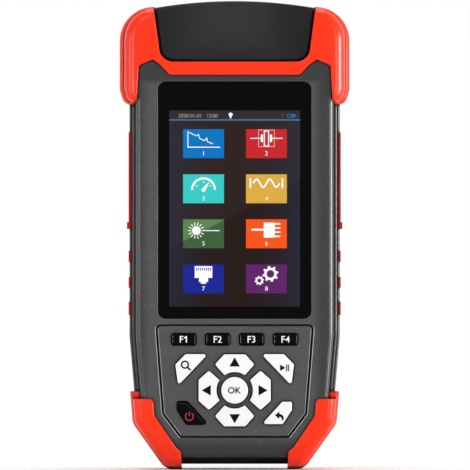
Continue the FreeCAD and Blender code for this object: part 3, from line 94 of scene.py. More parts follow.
# Sizes of the lumps in a moulded surface's tone, its pale edges (rubbed wear and painted highlights) and gloss.
CLOUD_GRAIN = 14 * MM
RUB_GRAIN = 5 * MM
GLOSS_GRAIN = 3 * MM
# Shares of a moulded colour that its specks, its painted shade at the sides, foot and head, and the painted shade in
# its creases keep.
SPECK_TONE = 0.6
PAINTED_SHADE_TONE = 0.3
CREASE_SHADE_TONE = 0.1
# How far towards white an edge is rubbed; on the case these pale edges also serve as painted highlights.
RUBBED_AND_HIGHLIGHT_WHITE = 0.25


class Graph:
    """A material's node tree, built one node at a time."""

    def __init__(self, name):
        self.material = bpy.data.materials.new(name)
        self.material.use_nodes = True
        self.tree = self.material.node_tree
        self.shader = self.tree.nodes["Principled BSDF"]

    def set(self, socket, value):
        self.shader.inputs[socket].default_value = value

    def add(self, kind, inputs=None, **settings):
        node = self.tree.nodes.new("ShaderNode" + kind)
        for name, value in settings.items():
            setattr(node, name, value)
        for socket, value in (inputs or {}).items():
            self.feed(node.inputs[socket], value)
        return node

    def feed(self, socket, value):
        if isinstance(value, bpy.types.NodeSocket):
            self.tree.links.new(value, socket)
        else:
            socket.default_value = value

    def place(self):
        """Where a point lies on the object, which moves with the piece."""
        return self.add("TexCoord").outputs["Object"]

    def axes(self):
        """The same place as three numbers: across, in depth and up."""
        return self.add("SeparateXYZ", {"Vector": self.place()}).outputs

    def noise(self, grain, detail=2.0, roughness=0.5, stretch=None):
        """Noise with lumps of about the given size in metres."""
        where = self.place()
        if stretch:
            where = self.add("Mapping", {"Vector": where, "Scale": stretch}).outputs["Vector"]
        node = self.add("TexNoise", {"Vector": where, "Scale": 1 / grain, "Detail": detail, "Roughness": roughness})
        return node.outputs["Fac"]

    def between(self, factor, low, high):
        """The factor's 0.3 to 0.7 spread over low to high."""
        ends = {"From Min": 0.3, "From Max": 0.7, "To Min": low, "To Max": high}
        return self.add("MapRange", {"Value": factor, **ends}).outputs["Result"]

    def blend(self, factor, first, second):
        node = self.add("Mix", data_type="RGBA")
        for socket, value in (("Factor", factor), ("A", first), ("B", second)):
            slot = [s for s in node.inputs if s.name == socket and s.type in ("VALUE", "RGBA") and s.enabled][0]
            self.feed(slot, value)
        return [s for s in node.outputs if s.enabled][0]

    def math(self, operation, *values, clamp=False):
        node = self.add("Math", operation=operation, use_clamp=clamp)
        for socket, value in zip(node.inputs, values):
            self.feed(socket, value)
        return node.outputs[0]

    def edge(self, radius):
        """1 along outside and inside edges, 0 on flats: how far a rounded normal leans from the true one."""
        rounded = self.add("Bevel", {"Radius": radius}, samples=6).outputs["Normal"]
        true = self.add("NewGeometry").outputs["Normal"]
        lean = self.add("VectorMath", {0: rounded, 1: true}, operation="DOT_PRODUCT").outputs["Value"]
        return self.math("MULTIPLY", self.math("SUBTRACT", 1.0, lean), EDGE_GAIN, clamp=True)

    def crease(self, reach):
        """1 deep in gaps and inside corners, 0 in the open."""
        openness = self.add("AmbientOcclusion", {"Distance": reach}, samples=8).outputs["AO"]
        return self.math("MULTIPLY", self.math("SUBTRACT", 1.0, openness), CREASE_GAIN, clamp=True)

    def patina(self, ends):
        """0 over the middle of the faces, rising to a share at the sides, foot and head: painted shade where faces
        turn from the light or lie under the band's shadow.
        """
        across, _, up = self.axes()
        (side, side_end), (foot, foot_end), (head, head_end), most = ends
        from_middle = self.math("ABSOLUTE", self.math("ADD", across, SHADE_MIDDLE_SHIFT))
        downwards = self.math("MULTIPLY", up, -1.0)
        share = None
        for along, start, end in ((from_middle, side, side_end), (downwards, -foot, -foot_end), (up, head, head_end)):
            rise = self.add("MapRange", {"Value": along, "From Min": start, "From Max": end},
                            interpolation_type="SMOOTHSTEP").outputs["Result"]
            share = rise if share is None else self.math("MAXIMUM", share, rise)
        return self.math("MULTIPLY", share, most)

    def fall(self, along, start, bend):
        """How far a gently crowned face falls away beyond a start along one axis, in metres."""
        beyond = self.math("MAXIMUM", self.math("SUBTRACT", along, start), 0.0)
        return self.math("MULTIPLY", self.math("MULTIPLY", beyond, beyond), bend / 2)

    def bump(self, height, depth, edge_radius=0.0, fall=None):
        """A bumpy normal; edges look rounded where an edge radius is given, faces crowned where a fall is."""
        height = self.math("MULTIPLY", height, depth)
        if fall is not None:
            height = self.math("SUBTRACT", height, fall)
        inputs = {"Height": height, "Distance": 1.0, "Strength": 1.0}
        if edge_radius:
            inputs["Normal"] = self.add("Bevel", {"Radius": edge_radius}, samples=6).outputs["Normal"]
        self.feed(self.shader.inputs["Normal"], self.add("Bump", inputs).outputs["Normal"])


def moulded(name, colour, rough=(0.42, 0.5), grain=0.35 * MM, depth=0.012 * MM, edge_radius=0.3 * MM,
            wear_and_highlight=0.25, specular=0.2, spread=0.04, crease_shade=0.95, crease=1.4 * MM,
            crown=None, patina=None, gap_shade=None):
    """Moulded plastic or rubber: spark-eroded grain, cloudy tone, rubbed edges that on the case also paint
    highlights, and creases darkened with painted shade.

    A crown rounds the front and back faces off towards the sides and the foot; the painted-shade ends say
    where painted shade darkens the sides, foot and head; the gap shade is the depth behind which the
    piece takes another colour, painted shade in the gaps round it.
    """
    graph = Graph(name)
    cloud = graph.noise(CLOUD_GRAIN, 3.0)
    tone = graph.blend(cloud, scaled(colour, 1 - spread), scaled(colour, 1 + spread))
    speck = graph.noise(grain * 0.8, 1.0)
    tone = graph.blend(graph.between(speck, 0.0, 0.1), tone, scaled(colour, SPECK_TONE))
    # Pale edges: rubbed wear, and on the case painted highlights as well.
    pale = tuple(level + (1 - level) * RUBBED_AND_HIGHLIGHT_WHITE for level in colour[:3]) + (1.0,)
    patchy = graph.between(graph.noise(RUB_GRAIN), 0.6 * wear_and_highlight, wear_and_highlight)
    tone = graph.blend(graph.math("MULTIPLY", graph.edge(edge_radius), patchy), tone, pale)
    # Painted shade: the faces darken towards the sides, foot and head.
    if patina:
        tone = graph.blend(graph.patina(patina), tone, scaled(colour, PAINTED_SHADE_TONE))
    # Painted shade: gaps, grooves and inside corners darken by how enclosed they are.
    creased = graph.crease(crease)
    tone = graph.blend(graph.math("MULTIPLY", creased, crease_shade), tone, scaled(colour, CREASE_SHADE_TONE))
    # Painted shade: behind a depth the piece turns dark, so the gaps round it look shaded.
    if gap_shade:
        limit, inner = gap_shade
        behind = graph.math("GREATER_THAN", graph.axes()[1], limit)
        tone = graph.blend(behind, tone, inner)
    graph.feed(graph.shader.inputs["Base Color"], tone)
    gloss = graph.between(graph.noise(GLOSS_GRAIN, 3.0), *rough)
    dulled = graph.math("MULTIPLY", creased, 1.0 - rough[1])
    graph.feed(graph.shader.inputs["Roughness"], graph.math("ADD", gloss, dulled, clamp=True))
    graph.set("Specular IOR Level", specular)
    fall = None
    if crown:
        across, _, up = graph.axes()
        (side, side_bend), (foot, foot_bend) = crown
        sideways = graph.fall(graph.math("ABSOLUTE", across), side, side_bend)
        downwards = graph.fall(graph.math("MULTIPLY", up, -1.0), -foot, foot_bend)
        fall = graph.math("ADD", sideways, downwards)
    graph.bump(graph.noise(grain, 3.0, 0.6), depth, edge_radius, fall)
    return graph.material


def metal(name, colour, rough=(0.18, 0.32), brush=(1.0, 1.0, 1.0), grain=0.25 * MM, edge_radius=0.08 * MM):
    """Metal with fine marks, drawn out along one way by the brush scale."""
    graph = Graph(name)
    marks = graph.noise(grain, 4.0, 0.6, brush)
    graph.feed(graph.shader.inputs["Base Color"], graph.blend(marks, scaled(colour, 0.85), scaled(colour, 1.05)))
    graph.feed(graph.shader.inputs["Roughness"], graph.between(marks, *rough))
    graph.set("Metallic", 1.0)
    graph.bump(marks, 0.003 * MM, edge_radius)
    return graph.material


def glossy(name, colour, rough=(0.03, 0.09), specular=0.5, edge_radius=0.12 * MM):
    """Polished glass, glaze or film with a faint haze of handling."""
    graph = Graph(name)
    haze = graph.noise(9 * MM, 4.0, 0.6)
    graph.feed(graph.shader.inputs["Base Color"], graph.blend(haze, scaled(colour, 0.8), scaled(colour, 1.2)))
    graph.feed(graph.shader.inputs["Roughness"], graph.between(haze, *rough))
    graph.set("Specular IOR Level", specular)
    graph.bump(graph.noise(20 * MM), 0.0016 * MM, edge_radius)
    return graph.material


def printed(name, colour, rough=0.45):
    """Pad-printed ink, a little uneven."""
    graph = Graph(name)
    patch = graph.noise(0.6 * MM, 3.0)
    graph.feed(graph.shader.inputs["Base Color"], graph.blend(patch, scaled(colour, 0.92), scaled(colour, 1.0)))
    graph.set("Roughness", rough)
    graph.set("Specular IOR Level", 0.06)
    graph.bump(graph.noise(0.2 * MM), 0.0016 * MM)
    return graph.material


def circuit_board(name):
    """Green solder mask with paler traces in straight runs."""
    graph = Graph(name)
    mask, trace = shade(16, 92, 50), shade(40, 130, 76)
    runs = graph.add("TexBrick", {"Vector": graph.place(), "Scale": 180.0, "Mortar Size": 0.06,
                                  "Color1": mask, "Color2": scaled(mask, 0.85), "Mortar": trace})
    graph.feed(graph.shader.inputs["Base Color"], runs.outputs["Color"])
    graph.feed(graph.shader.inputs["Roughness"], graph.between(graph.noise(4 * MM), 0.25, 0.4))
    graph.bump(runs.outputs["Fac"], 0.008 * MM)
    return graph.material


# The lit screen gives half of its colour as light and takes half from the room, under the glass's gloss.
LIT_SHARE = 0.5


def finish_screen(graph, colour):
    half = graph.blend(LIT_SHARE, colour, (0.0, 0.0, 0.0, 1.0))
    graph.feed(graph.shader.inputs["Base Color"], half)
    graph.feed(graph.shader.inputs["Emission Color"], half)
    graph.set("Emission Strength", 1.0)
    graph.set("Roughness", 0.3)
    graph.set("Specular IOR Level", 0.05)
    graph.set("Coat Weight", 0.08)
    graph.set("Coat Roughness", 0.05)
    return graph.material


def screen_colour(name, colour, spread=0.04):
    """One colour of the screen picture, with the faint unevenness of its backlight."""
    graph = Graph(name)
    cloud = graph.noise(10 * MM)
    return finish_screen(graph, graph.blend(cloud, scaled(colour, 1 - spread), scaled(colour, 1 + spread)))


def glare_side(graph, low_left, high_right, softness):
    """1 above a slanting line given by two points across and up, 0 below it."""
    across, _, up = graph.axes()
    slope = (high_right[1] - low_left[1]) / (high_right[0] - low_left[0])
    line = graph.math("MULTIPLY_ADD", across, slope, low_left[1] - slope * low_left[0])
    height = graph.math("SUBTRACT", up, line)
    return graph.add("MapRange", {"Value": height, "From Min": -softness, "From Max": softness}).outputs["Result"]


def two_tone(name, low, high, line):
    """A screen colour that steps to a paler one above a slanting line, a painted glare reflection."""
    graph = Graph(name)
    return finish_screen(graph, graph.blend(glare_side(graph, *line, 0.15 * MM), low, high))


def screen_ground(name, middle, sides, half_width, line):
    """The picture's dark ground: warm in the middle, blue at the sides, a little paler above a slanting line, a
    painted glare reflection.
    """
    graph = Graph(name)
    across = graph.axes()[0]
    outward = graph.math("POWER", graph.math("DIVIDE", graph.math("ABSOLUTE", across), half_width), 2.2)
    tone = graph.blend(outward, middle, sides)
    pale = graph.blend(0.5, tone, shade(88, 74, 76))
    side = graph.math("MULTIPLY", glare_side(graph, *line, 0.2 * MM), 0.16)
    return finish_screen(graph, graph.blend(side, tone, pale))


# ---------------------------------------------------------------- flat pieces, drawn across and up

RELIEF = 0.03 * MM
BITE = 0.05 * MM


def mesh_from(name, curve):
    """The mesh that a filled curve or a text makes; the curve is then deleted."""
    drawn = bpy.data.objects.new(name, curve)
    bpy.context.scene.collection.objects.link(drawn)
    mesh = bpy.data.meshes.new_from_object(drawn.evaluated_get(bpy.context.evaluated_depsgraph_get()))
    bpy.data.objects.remove(drawn)
    bpy.data.curves.remove(curve)
    return mesh


def upright(name, mesh, centre, front, material, body):
    """Stands a flat mesh up facing -Y with its face at front, and lets it ride on a body."""
    mesh.transform(Matrix.Rotation(math.pi / 2, 4, "X"))
    mesh.transform(Matrix.Translation((centre[0], front + (RELIEF + BITE) / 2, centre[1])))
    mesh.name = name
    piece = bpy.data.objects.new(name, mesh)
    bpy.context.scene.collection.objects.link(piece)
    mesh.materials.clear()
    mesh.materials.append(material)
    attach(piece, body)
    return piece


def drawing(name, loops):
    """Closed outlines in millimetres, the inner ones as holes, as a plate of the legend's thickness."""
    curve = bpy.data.curves.new(name, "CURVE")
    curve.dimensions = "2D"
    curve.fill_mode = "BOTH"
    curve.extrude = 0.5
    for loop in loops:
        spline = curve.splines.new("POLY")
        spline.points.add(len(loop) - 1)
        for point, (across, up) in zip(spline.points, loop):
            point.co = (across, up, 0, 1)
        spline.use_cyclic_u = True
    return flat_scaled(mesh_from(name, curve), MM)


def lettering(name, text, height, weight=0.0, spacing=1.0):
    """Text of the given capital height in millimetres, centred."""
    curve = bpy.data.curves.new(name, "FONT")
    curve.body = text
    curve.space_character = spacing
    curve.offset = weight
    curve.extrude = 0.5
    mesh = mesh_from(name, curve)
    points = [vertex.co for vertex in mesh.vertices]
    low, high = (Vector([side(p[i] for p in points) for i in range(3)]) for side in (min, max))
    mesh.transform(Matrix.Translation(-(low + high) / 2))
    return flat_scaled(mesh, height * MM / (high.y - low.y))


def flat_scaled(mesh, size):
    """Scales a plate drawn 1 thick across and up, and gives it the legend's thickness."""
    mesh.transform(Matrix.Diagonal((size, size, RELIEF + BITE, 1)))
    return mesh


def block(left, right, low, high):
    return [(left, low), (right, low), (right, high), (left, high)]


def mirrored(loop):
    """The same outline on the other side of the middle line."""
    return [(-across, up) for across, up in loop]


def arc(centre, radius, start, end, steps=24):
    """Points round a centre, between two angles in degrees."""
    turns = [math.radians(start + (end - start) * i / steps) for i in range(steps + 1)]
    return [(centre[0] + radius * math.cos(t), centre[1] + radius * math.sin(t)) for t in turns]


def disc(centre, radius, steps=32):
    return arc(centre, radius, 0, 360 - 360 / steps, steps - 1)


def band(centre, radius, width, start, end):
    """Part of a ring."""
    return (arc(centre, radius + width / 2, start, end) + arc(centre, radius - width / 2, end, start))


def stroke(points, width):
    """The outline of a line of even width through points."""
    left, right = [], []
    for i, point in enumerate(points):
        before = Vector(points[max(i - 1, 0)])
        after = Vector(points[min(i + 1, len(points) - 1)])
        here = Vector(point)
        ways = [way.normalized() for way in (here - before, after - here) if way.length > 0]
        along = sum(ways, Vector((0, 0))).normalized()
        across = Vector((-along.y, along.x)) * (width / 2) / max(0.35, along.dot(ways[0]))
        left.append(tuple(here + across))
        right.append(tuple(here - across))
    return left + right[::-1]


def gear(centre, radius, teeth, hole):
    """A toothed wheel with a hole."""
    root = radius * 0.78
    points = []
    for tooth in range(teeth):
        for share, reach in ((0.0, root), (0.12, radius), (0.42, radius), (0.54, root)):
            turn = 2 * math.pi * (tooth + share) / teeth
            points.append((centre[0] + reach * math.cos(turn), centre[1] + reach * math.sin(turn)))
    return [points, disc(centre, hole, 20)]


def dotted(half_width, low, high, pitch, size):
    """Small squares along the sides of a frame."""
    columns, rows = round(2 * half_width / pitch), round((high - low) / pitch)
    places = [(half_width * (2 * i / columns - 1), up) for i in range(columns + 1) for up in (low, high)]
    places += [(side, low + (high - low) * i / rows) for i in range(1, rows) for side in (-half_width, half_width)]
    return [block(x - size / 2, x + size / 2, z - size / 2, z + size / 2) for x, z in places]


def rounded_loop(corners, radius, growth=0.0):
    """A convex outline with rounded corners, given anticlockwise, grown outwards."""
    loop = []
    for before, here, after in zip(corners[-1:] + corners[:-1], corners, corners[1:] + corners[:1]):
        ways = [(Vector(end) - Vector(start)).normalized() for start, end in ((before, here), (here, after))]
        outward = [Vector((way.y, -way.x)) for way in ways]
        centre = Vector(here) - (outward[0] + outward[1]) * radius / (1 + outward[0].dot(outward[1]))
        first, last = (math.degrees(math.atan2(way.y, way.x)) for way in outward)
        loop += arc(centre, radius + growth, first, first + (last - first) % 360, 8)
    return loop


def rays(centre, inner, outer, count, width):
    """Spokes round a centre."""
    spokes = []
    for i in range(count):
        turn = 2 * math.pi * i / count
        way = Vector((math.cos(turn), math.sin(turn)))
        spokes.append(stroke([tuple(Vector(centre) + way * inner), tuple(Vector(centre) + way * outer)], width))
    return spokes


# ---------------------------------------------------------------- finishes of the CAD pieces

# Where the faces begin to fall away towards the sides and the foot, and how sharply they bend, per metre.
CASE_CROWN = ((29 * MM, 22.0), (12.5 * MM, 40.0))
BUMPER_CROWN = ((33 * MM, 50.0), (15 * MM, 50.0))
# Where the painted shade begins and is full: at the sides, towards the foot and towards the head; then its share.
CASE_PAINTED_SHADE = ((29.5 * MM, 35 * MM), (14 * MM, 7.5 * MM), (143.5 * MM, 146.5 * MM), 0.82)
COVER_PAINTED_SHADE = ((3 * MM, 25 * MM), (168 * MM, 150 * MM), (172 * MM, 180 * MM), 0.85)
# Behind this depth, just below the face of the case, the white keys are coloured black: painted shade in the gaps
# round them.
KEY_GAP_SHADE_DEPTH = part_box("front_housing")[0].y + 0.15 * MM


def make_finishes():
    """One material for each of the record's slots."""
    return {
        # The case's pale edges are rubbed wear and also painted highlights.
        "case": moulded("case_plastic", CASE_GREY, rough=(0.23, 0.28), depth=0.005 * MM, wear_and_highlight=0.8, specular=0.3,
                        crown=CASE_CROWN, patina=CASE_PAINTED_SHADE),
        "cover": moulded("cover_plastic", COVER_GREY, rough=(0.34, 0.42), wear_and_highlight=0.3, specular=0.12,
                         patina=COVER_PAINTED_SHADE),
        "stand": moulded("stand_plastic", STAND_GREY, rough=(0.45, 0.55), wear_and_highlight=0.3),
        "bumper": moulded("bumper_rubber", BUMPER_RED, rough=(0.2, 0.24), grain=0.5 * MM, depth=0.004 * MM,
                          edge_radius=1.0 * MM, wear_and_highlight=0.02, specular=0.2, spread=0.03,
                          crown=BUMPER_CROWN),
        "grip": moulded("grip_rubber", GRIP_RED, rough=(0.4, 0.5), grain=0.4 * MM, wear_and_highlight=0.12),
        "seal": moulded("seal_rubber", shade(40, 40, 41), rough=(0.55, 0.7)),
        "white_key": moulded("white_key_plastic", WHITE_KEY, rough=(0.38, 0.46), grain=0.25 * MM,
                             depth=0.005 * MM, edge_radius=0.2 * MM, wear_and_highlight=0.0, spread=0.01,
                             gap_shade=(KEY_GAP_SHADE_DEPTH, BLACK_KEY)),
        "black_key": moulded("black_key_plastic", BLACK_KEY, rough=(0.2, 0.26), grain=0.25 * MM,
                             depth=0.004 * MM, edge_radius=0.25 * MM, wear_and_highlight=0.2, specular=0.035),
        "cover_glass": glossy("cover_glass_black", GLASS_BLACK, specular=0.03),
        "tape": moulded("tape_black", shade(30, 30, 31), rough=(0.6, 0.75)),
        "display": glossy("display_dark", shade(24, 24, 30), rough=(0.15, 0.25)),
        "silicone": moulded("silicone_grey", shade(200, 200, 202), rough=(0.5, 0.62), wear_and_highlight=0.0, spread=0.03),
        "dome": metal("dome_steel", shade(205, 205, 208)),
        "circuit_board": circuit_board("circuit_board_green"),
        "buzzer": moulded("buzzer_black", shade(38, 38, 39)),
        "cell": glossy("cell_wrap_blue", shade(50, 110, 190), rough=(0.2, 0.3)),
        "holder": moulded("holder_black", shade(52, 52, 53)),
        "optics": metal("optics_aluminium", shade(212, 212, 214), rough=(0.3, 0.45), brush=(1, 1, 0.05)),
        "screw": metal("screw_steel", shade(120, 120, 124), rough=(0.25, 0.4)),
        "steel": metal("pin_steel", shade(190, 190, 194), brush=(0.05, 1, 1)),
        "port_panel": moulded("port_panel_black", shade(40, 40, 42), rough=(0.5, 0.65), wear_and_highlight=0.2),
        "adapter": metal("adapter_nickel", shade(214, 212, 206), rough=(0.12, 0.24), brush=(1, 1, 0.2)),
        "ceramic": glossy("sleeve_ceramic", shade(238, 236, 228), rough=(0.12, 0.2)),
        "jack": moulded("jack_black", shade(36, 36, 38), rough=(0.3, 0.42), grain=0.2 * MM),
        "socket": metal("socket_steel", shade(205, 205, 208), rough=(0.2, 0.35), brush=(1, 1, 0.1)),
    }


def dress_nodes(finishes):
    """Gives each CAD node the finish of its slot in the record."""
    slot_of = {part["node"]: part["material_slot"] for part in frame["record"]["subparts"]}
    for name, node in frame["nodes"].items():
        node.data.materials.clear()
        node.data.materials.append(finishes[slot_of[name]])


# ---------------------------------------------------------------- key legends

def centre_of(name):
    low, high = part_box(name)
    return (low + high) / 2


def legend(key, label, mesh, material, offset=(0.0, 0.0), anchor=None):
    """A legend on a key's cap, placed from the middle of the key or of another node."""
    middle = centre_of(anchor or key)
    centre = (middle.x + offset[0] * MM, middle.z + offset[1] * MM)
    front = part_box(key)[0].y - RELIEF
    return upright(f"{key}_{label}", mesh, centre, front, material, f"{key}_body")


F_HEIGHT = 2.45
F_WEIGHT = 0.0015
F_OFFSETS = (-0.85, 0.75)
BEAD_RADIUS = 0.1
F_BEAD_ACROSS = 4.12
F_BEAD_HALF_HEIGHT = 1.5


def numeral_one():
    """The figure 1 with its flag."""
    half = F_HEIGHT / 2
    return drawing("one", [[(0.42, -half), (0.42, half), (0.05, half), (-0.6, half - 0.55), (-0.6, half - 0.98),
                            (0.0, half - 0.62), (0.0, -half)]])


def bead(key, label, path, material, anchor=None):
    """A polished line moulded along a black key's edge, through points across and up from the key's middle."""
    curve = bpy.data.curves.new(label, "CURVE")
    curve.dimensions = "3D"
    curve.bevel_depth = BEAD_RADIUS
    curve.bevel_resolution = 3
    curve.use_fill_caps = True
    spline = curve.splines.new("POLY")
    spline.points.add(len(path) - 1)
    for point, (across, up) in zip(spline.points, path):
        point.co = (across, up, 0, 1)
    mesh = mesh_from(label, curve)
    mesh.transform(Matrix.Diagonal((MM, MM, (RELIEF + BITE) / (2 * BEAD_RADIUS), 1)))
    return legend(key, label, mesh, material, anchor=anchor)


def key_beads():
    """Beads at both ends of the function keys and along the upper edges of the power key."""
    polish = glossy("bead_black", BLACK_KEY, rough=(0.12, 0.2))
    for number in range(1, 5):
        for label, across in (("bead_left", -F_BEAD_ACROSS), ("bead_right", F_BEAD_ACROSS)):
            bead(f"key_f{number}", label, [(across, -F_BEAD_HALF_HEIGHT), (across, F_BEAD_HALF_HEIGHT)], polish)
    bead("key_power", "bead", [(-21.1, -5.05), (-18.25, -5.05), (-11.75, -11.75)], polish, anchor="key_ok")


def key_legends():
    black = printed("ink_black", LEGEND_BLACK)
    white = printed("ink_white", LEGEND_WHITE)
    red = printed("ink_red", LEGEND_RED)
    for number in range(1, 5):
        key = f"key_f{number}"
        letter = lettering(f"{key}_letter", "F", F_HEIGHT, F_WEIGHT)
        digit = numeral_one() if number == 1 else lettering(f"{key}_digit", str(number), F_HEIGHT, F_WEIGHT)
        for label, mesh, across in zip(("letter", "digit"), (letter, digit), F_OFFSETS):
            legend(key, label, mesh, white, (across, 0.0))
    legend("key_ok", "legend", lettering("key_ok_text", "OK", 2.35, weight=0.012), black, (-0.1, 0.0))
    triangle = [(-1.95, 8.95), (1.95, 8.95), (0.0, 12.3)]
    for turn, key in enumerate(("key_up", "key_left", "key_down", "key_right")):
        angle = math.radians(90 * turn)
        turned = [(x * math.cos(angle) - z * math.sin(angle), x * math.sin(angle) + z * math.cos(angle))
                  for x, z in triangle]
        legend(key, "arrow", drawing(f"{key}_triangle", [turned]), black, anchor="key_ok")
    # The other legends are placed from the middle of the OK key, across and up.
    lens = (-18.6, 9.6)
    handle = stroke([(lens[0] + 1.08, lens[1] - 1.08), (lens[0] + 2.05, lens[1] - 2.05)], 0.6)
    legend("key_zoom", "lens", drawing("key_zoom_lens", [disc(lens, 1.55), disc(lens, 1.0), handle]), black,
           anchor="key_ok")
    play = [(17.0, 9.6), (17.0, 7.25), (18.95, 8.42)]
    bars = [block(19.3, 19.66, 7.15, 9.65), block(19.97, 20.33, 7.15, 9.65)]
    legend("key_run_hold", "play", drawing("key_run_hold_play", [play] + bars), black, anchor="key_ok")
    legend("key_back", "arrow", drawing("key_back_arrow", [back_arrow((15.15, -9.35))]), black, anchor="key_ok")
    power = (-16.95, -9.75)
    ring = band(power, 1.48, 0.36, 125, 415)
    bar = block(power[0] - 0.18, power[0] + 0.18, power[1] + 0.1, power[1] + 1.8)
    legend("key_power", "symbol", drawing("key_power_symbol", [ring, bar]), red, anchor="key_ok")


def back_arrow(tip):
    """A head that points left, with a tail that bends down to the right and thins out."""
    x, z = tip
    outside = [(x + 1.55, z + 0.52), (x + 2.35, z + 0.32), (x + 2.95, z - 0.2), (x + 3.22, z - 0.95),
               (x + 3.15, z - 1.6), (x + 2.85, z - 2.05)]
    inside = [(x + 2.55, z - 2.0), (x + 2.6, z - 1.5), (x + 2.45, z - 1.0), (x + 2.1, z - 0.65), (x + 1.55, z - 0.5)]
    return [(x, z), (x + 1.5, z + 1.4)] + outside + inside + [(x + 1.5, z - 1.35)]


# ---------------------------------------------------------------- the key field's groove

FIELD_CORNERS = [(20.4, 11.8), (27.2, 20.85), (29.8, 54.5)]
FIELD_ROUND = 2.0
GROOVE_WIDTH = 0.9
OUTER_RIM = 0.28
INNER_RIM = 0.2


def groove_rims():
    """Pale lines along both edges of the groove beside the keys: painted highlights on its rims."""
    groove_highlight = moulded("painted_groove_highlight", GROOVE_HIGHLIGHT_GREY, rough=(0.3, 0.4), wear_and_highlight=0.0, crease_shade=0.0)
    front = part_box("front_housing")[0].y - RELIEF
    corners = FIELD_CORNERS + mirrored(FIELD_CORNERS)[::-1]
    for name, width, growth in (("outer", OUTER_RIM, OUTER_RIM / 2),
                                ("inner", INNER_RIM, -GROOVE_WIDTH - INNER_RIM / 2)):
        # From the middle of the lower corner's arc to the start of the upper one's.
        beside = rounded_loop(corners, FIELD_ROUND, growth)[5:22]
        for side, path in (("right", beside), ("left", mirrored(beside))):
            label = f"groove_rim_{name}_{side}"
            upright(label, drawing(label, [stroke(path, width)]), (0.0, 0.0), front, groove_highlight, "case")


# ---------------------------------------------------------------- screen picture

GLASS_LOW, GLASS_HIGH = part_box("cover_glass")
GLASS_FACE = GLASS_LOW.y
SCREEN_HALF_WIDTH = 24.48
SCREEN_HEIGHT = 73.44
SCREEN_LOW = 4.45
TILE = (15.3, 10.8)
TILE_COLUMNS = (-11.65, 11.9)
TILE_ROWS = (61.0, 44.1, 27.25, 10.35)
BAR_LINE = 69.9
# Above this slanting line a glare reflection is painted on the screen.
GLARE_LINE = ((-24.5, 21.7), (24.5, 47.3))


def screen_point(across, up):
    """A point given in millimetres from the middle of the screen's lower edge, in the frame's metres."""
    return (across * MM, GLASS_LOW.z + (SCREEN_LOW + up) * MM)


def on_screen(name, mesh, centre, layer, material):
    """A piece of the picture, in one of the layers that lie on each other on the glass."""
    return upright(name, mesh, screen_point(*centre), GLASS_FACE - RELIEF * layer, material, "case")


def tile_pictures():
    """Eight simple signs, each as outlines across and up from its tile's middle."""
    trace = [(-5.4, 4.2), (-2.6, 2.9), (-1.9, 3.5), (-1.4, 1.9), (0.4, 1.1), (1.2, 2.1), (1.5, 0.7), (3.6, -0.1)]
    axes = [(-6.0, 4.7), (-6.0, -1.5), (6.2, -1.5), (6.2, -1.15), (-5.68, -1.15), (-5.68, 4.7)]
    half_joint = [(-6.1, 1.82), (-2.1, 1.82), (-2.1, 0.6), (-1.3, 0.6), (-1.3, 3.4), (-2.1, 3.4), (-2.1, 2.15),
                  (-6.1, 2.15)]
    window = [dot for dot in dotted(2.95, -1.1, 5.1, 0.6, 0.26) if not 1.4 < dot[0][1] < 2.4]
    hub, tip = (0.0, -0.4), (2.2, 2.6)
    needle = [tip] + arc(hub, 0.75, 54 + 75, 54 + 285)
    wave = [(-4.9 + 0.35 * i, 2.1 + 1.5 * math.sin(0.35 * i * 1.28)) for i in range(29)]
    prongs = [point for low in (-1.2, 0.35, 1.9, 3.45)
              for point in ((3.1, low), (5.2, low), (5.2, low + 0.55), (3.1, low + 0.55))]
    plug = [(-5.6, 1.15), (-1.0, 1.15), (-1.0, -1.4), (3.1, -1.4)] + prongs + [(3.1, 4.2), (-1.0, 4.2), (-1.0, 1.9),
                                                                             (-5.6, 1.9)]
    half_jack = [(0.0, 4.8), (-3.3, 4.8), (-3.3, 0.4), (-1.7, 0.4), (-1.7, -1.1), (-1.0, -1.1), (-1.0, -1.8)]
    contacts = [block(-2.75 + 0.74 * i, -2.4 + 0.74 * i, 3.1, 4.2) for i in range(8)]
    beam = block(-0.6, 6.0, 1.03, 1.37)
    return [
        [stroke(trace, 0.3), axes],
        [half_joint, mirrored(half_joint), block(-1.0, 1.0, -1.1, 4.9), block(-0.6, 0.6, -0.7, 4.5)] + window,
        [band(hub, 4.3, 0.75, 0, 180), needle] + rays(hub, 2.6, 3.3, 12, 0.3)[1:6:2],
        [stroke(wave, 0.6), block(-6.3, -5.7, 0.2, 4.0), block(5.7, 6.3, 0.2, 4.0)],
        [disc((-2.7, 1.2), 1.65), beam] + rays((-2.7, 1.2), 1.95, 3.1, 14, 0.32)[1:],
        [plug],
        [half_jack + mirrored(half_jack[1:])[::-1]] + contacts,
        gear((1.5, 1.9), 3.0, 8, 1.45) + gear((-2.65, -0.6), 1.75, 8, 0.75),
    ]


def tile_materials():
    blue, red = screen_colour("tile_blue", shade(2, 112, 186)), screen_colour("tile_red", shade(192, 34, 40))
    teal, gold = screen_colour("tile_teal", shade(50, 195, 188)), screen_colour("tile_gold", shade(212, 164, 62))
    line = tuple(screen_point(*point) for point in GLARE_LINE)
    green = two_tone("tile_green", shade(58, 92, 56), shade(86, 128, 78), line)
    orange = screen_colour("tile_orange", shade(236, 80, 22))
    navy, purple = screen_colour("tile_navy", shade(20, 34, 140)), screen_colour("tile_purple", shade(92, 30, 100))
    return [blue, red, teal, gold, green, orange, navy, purple]


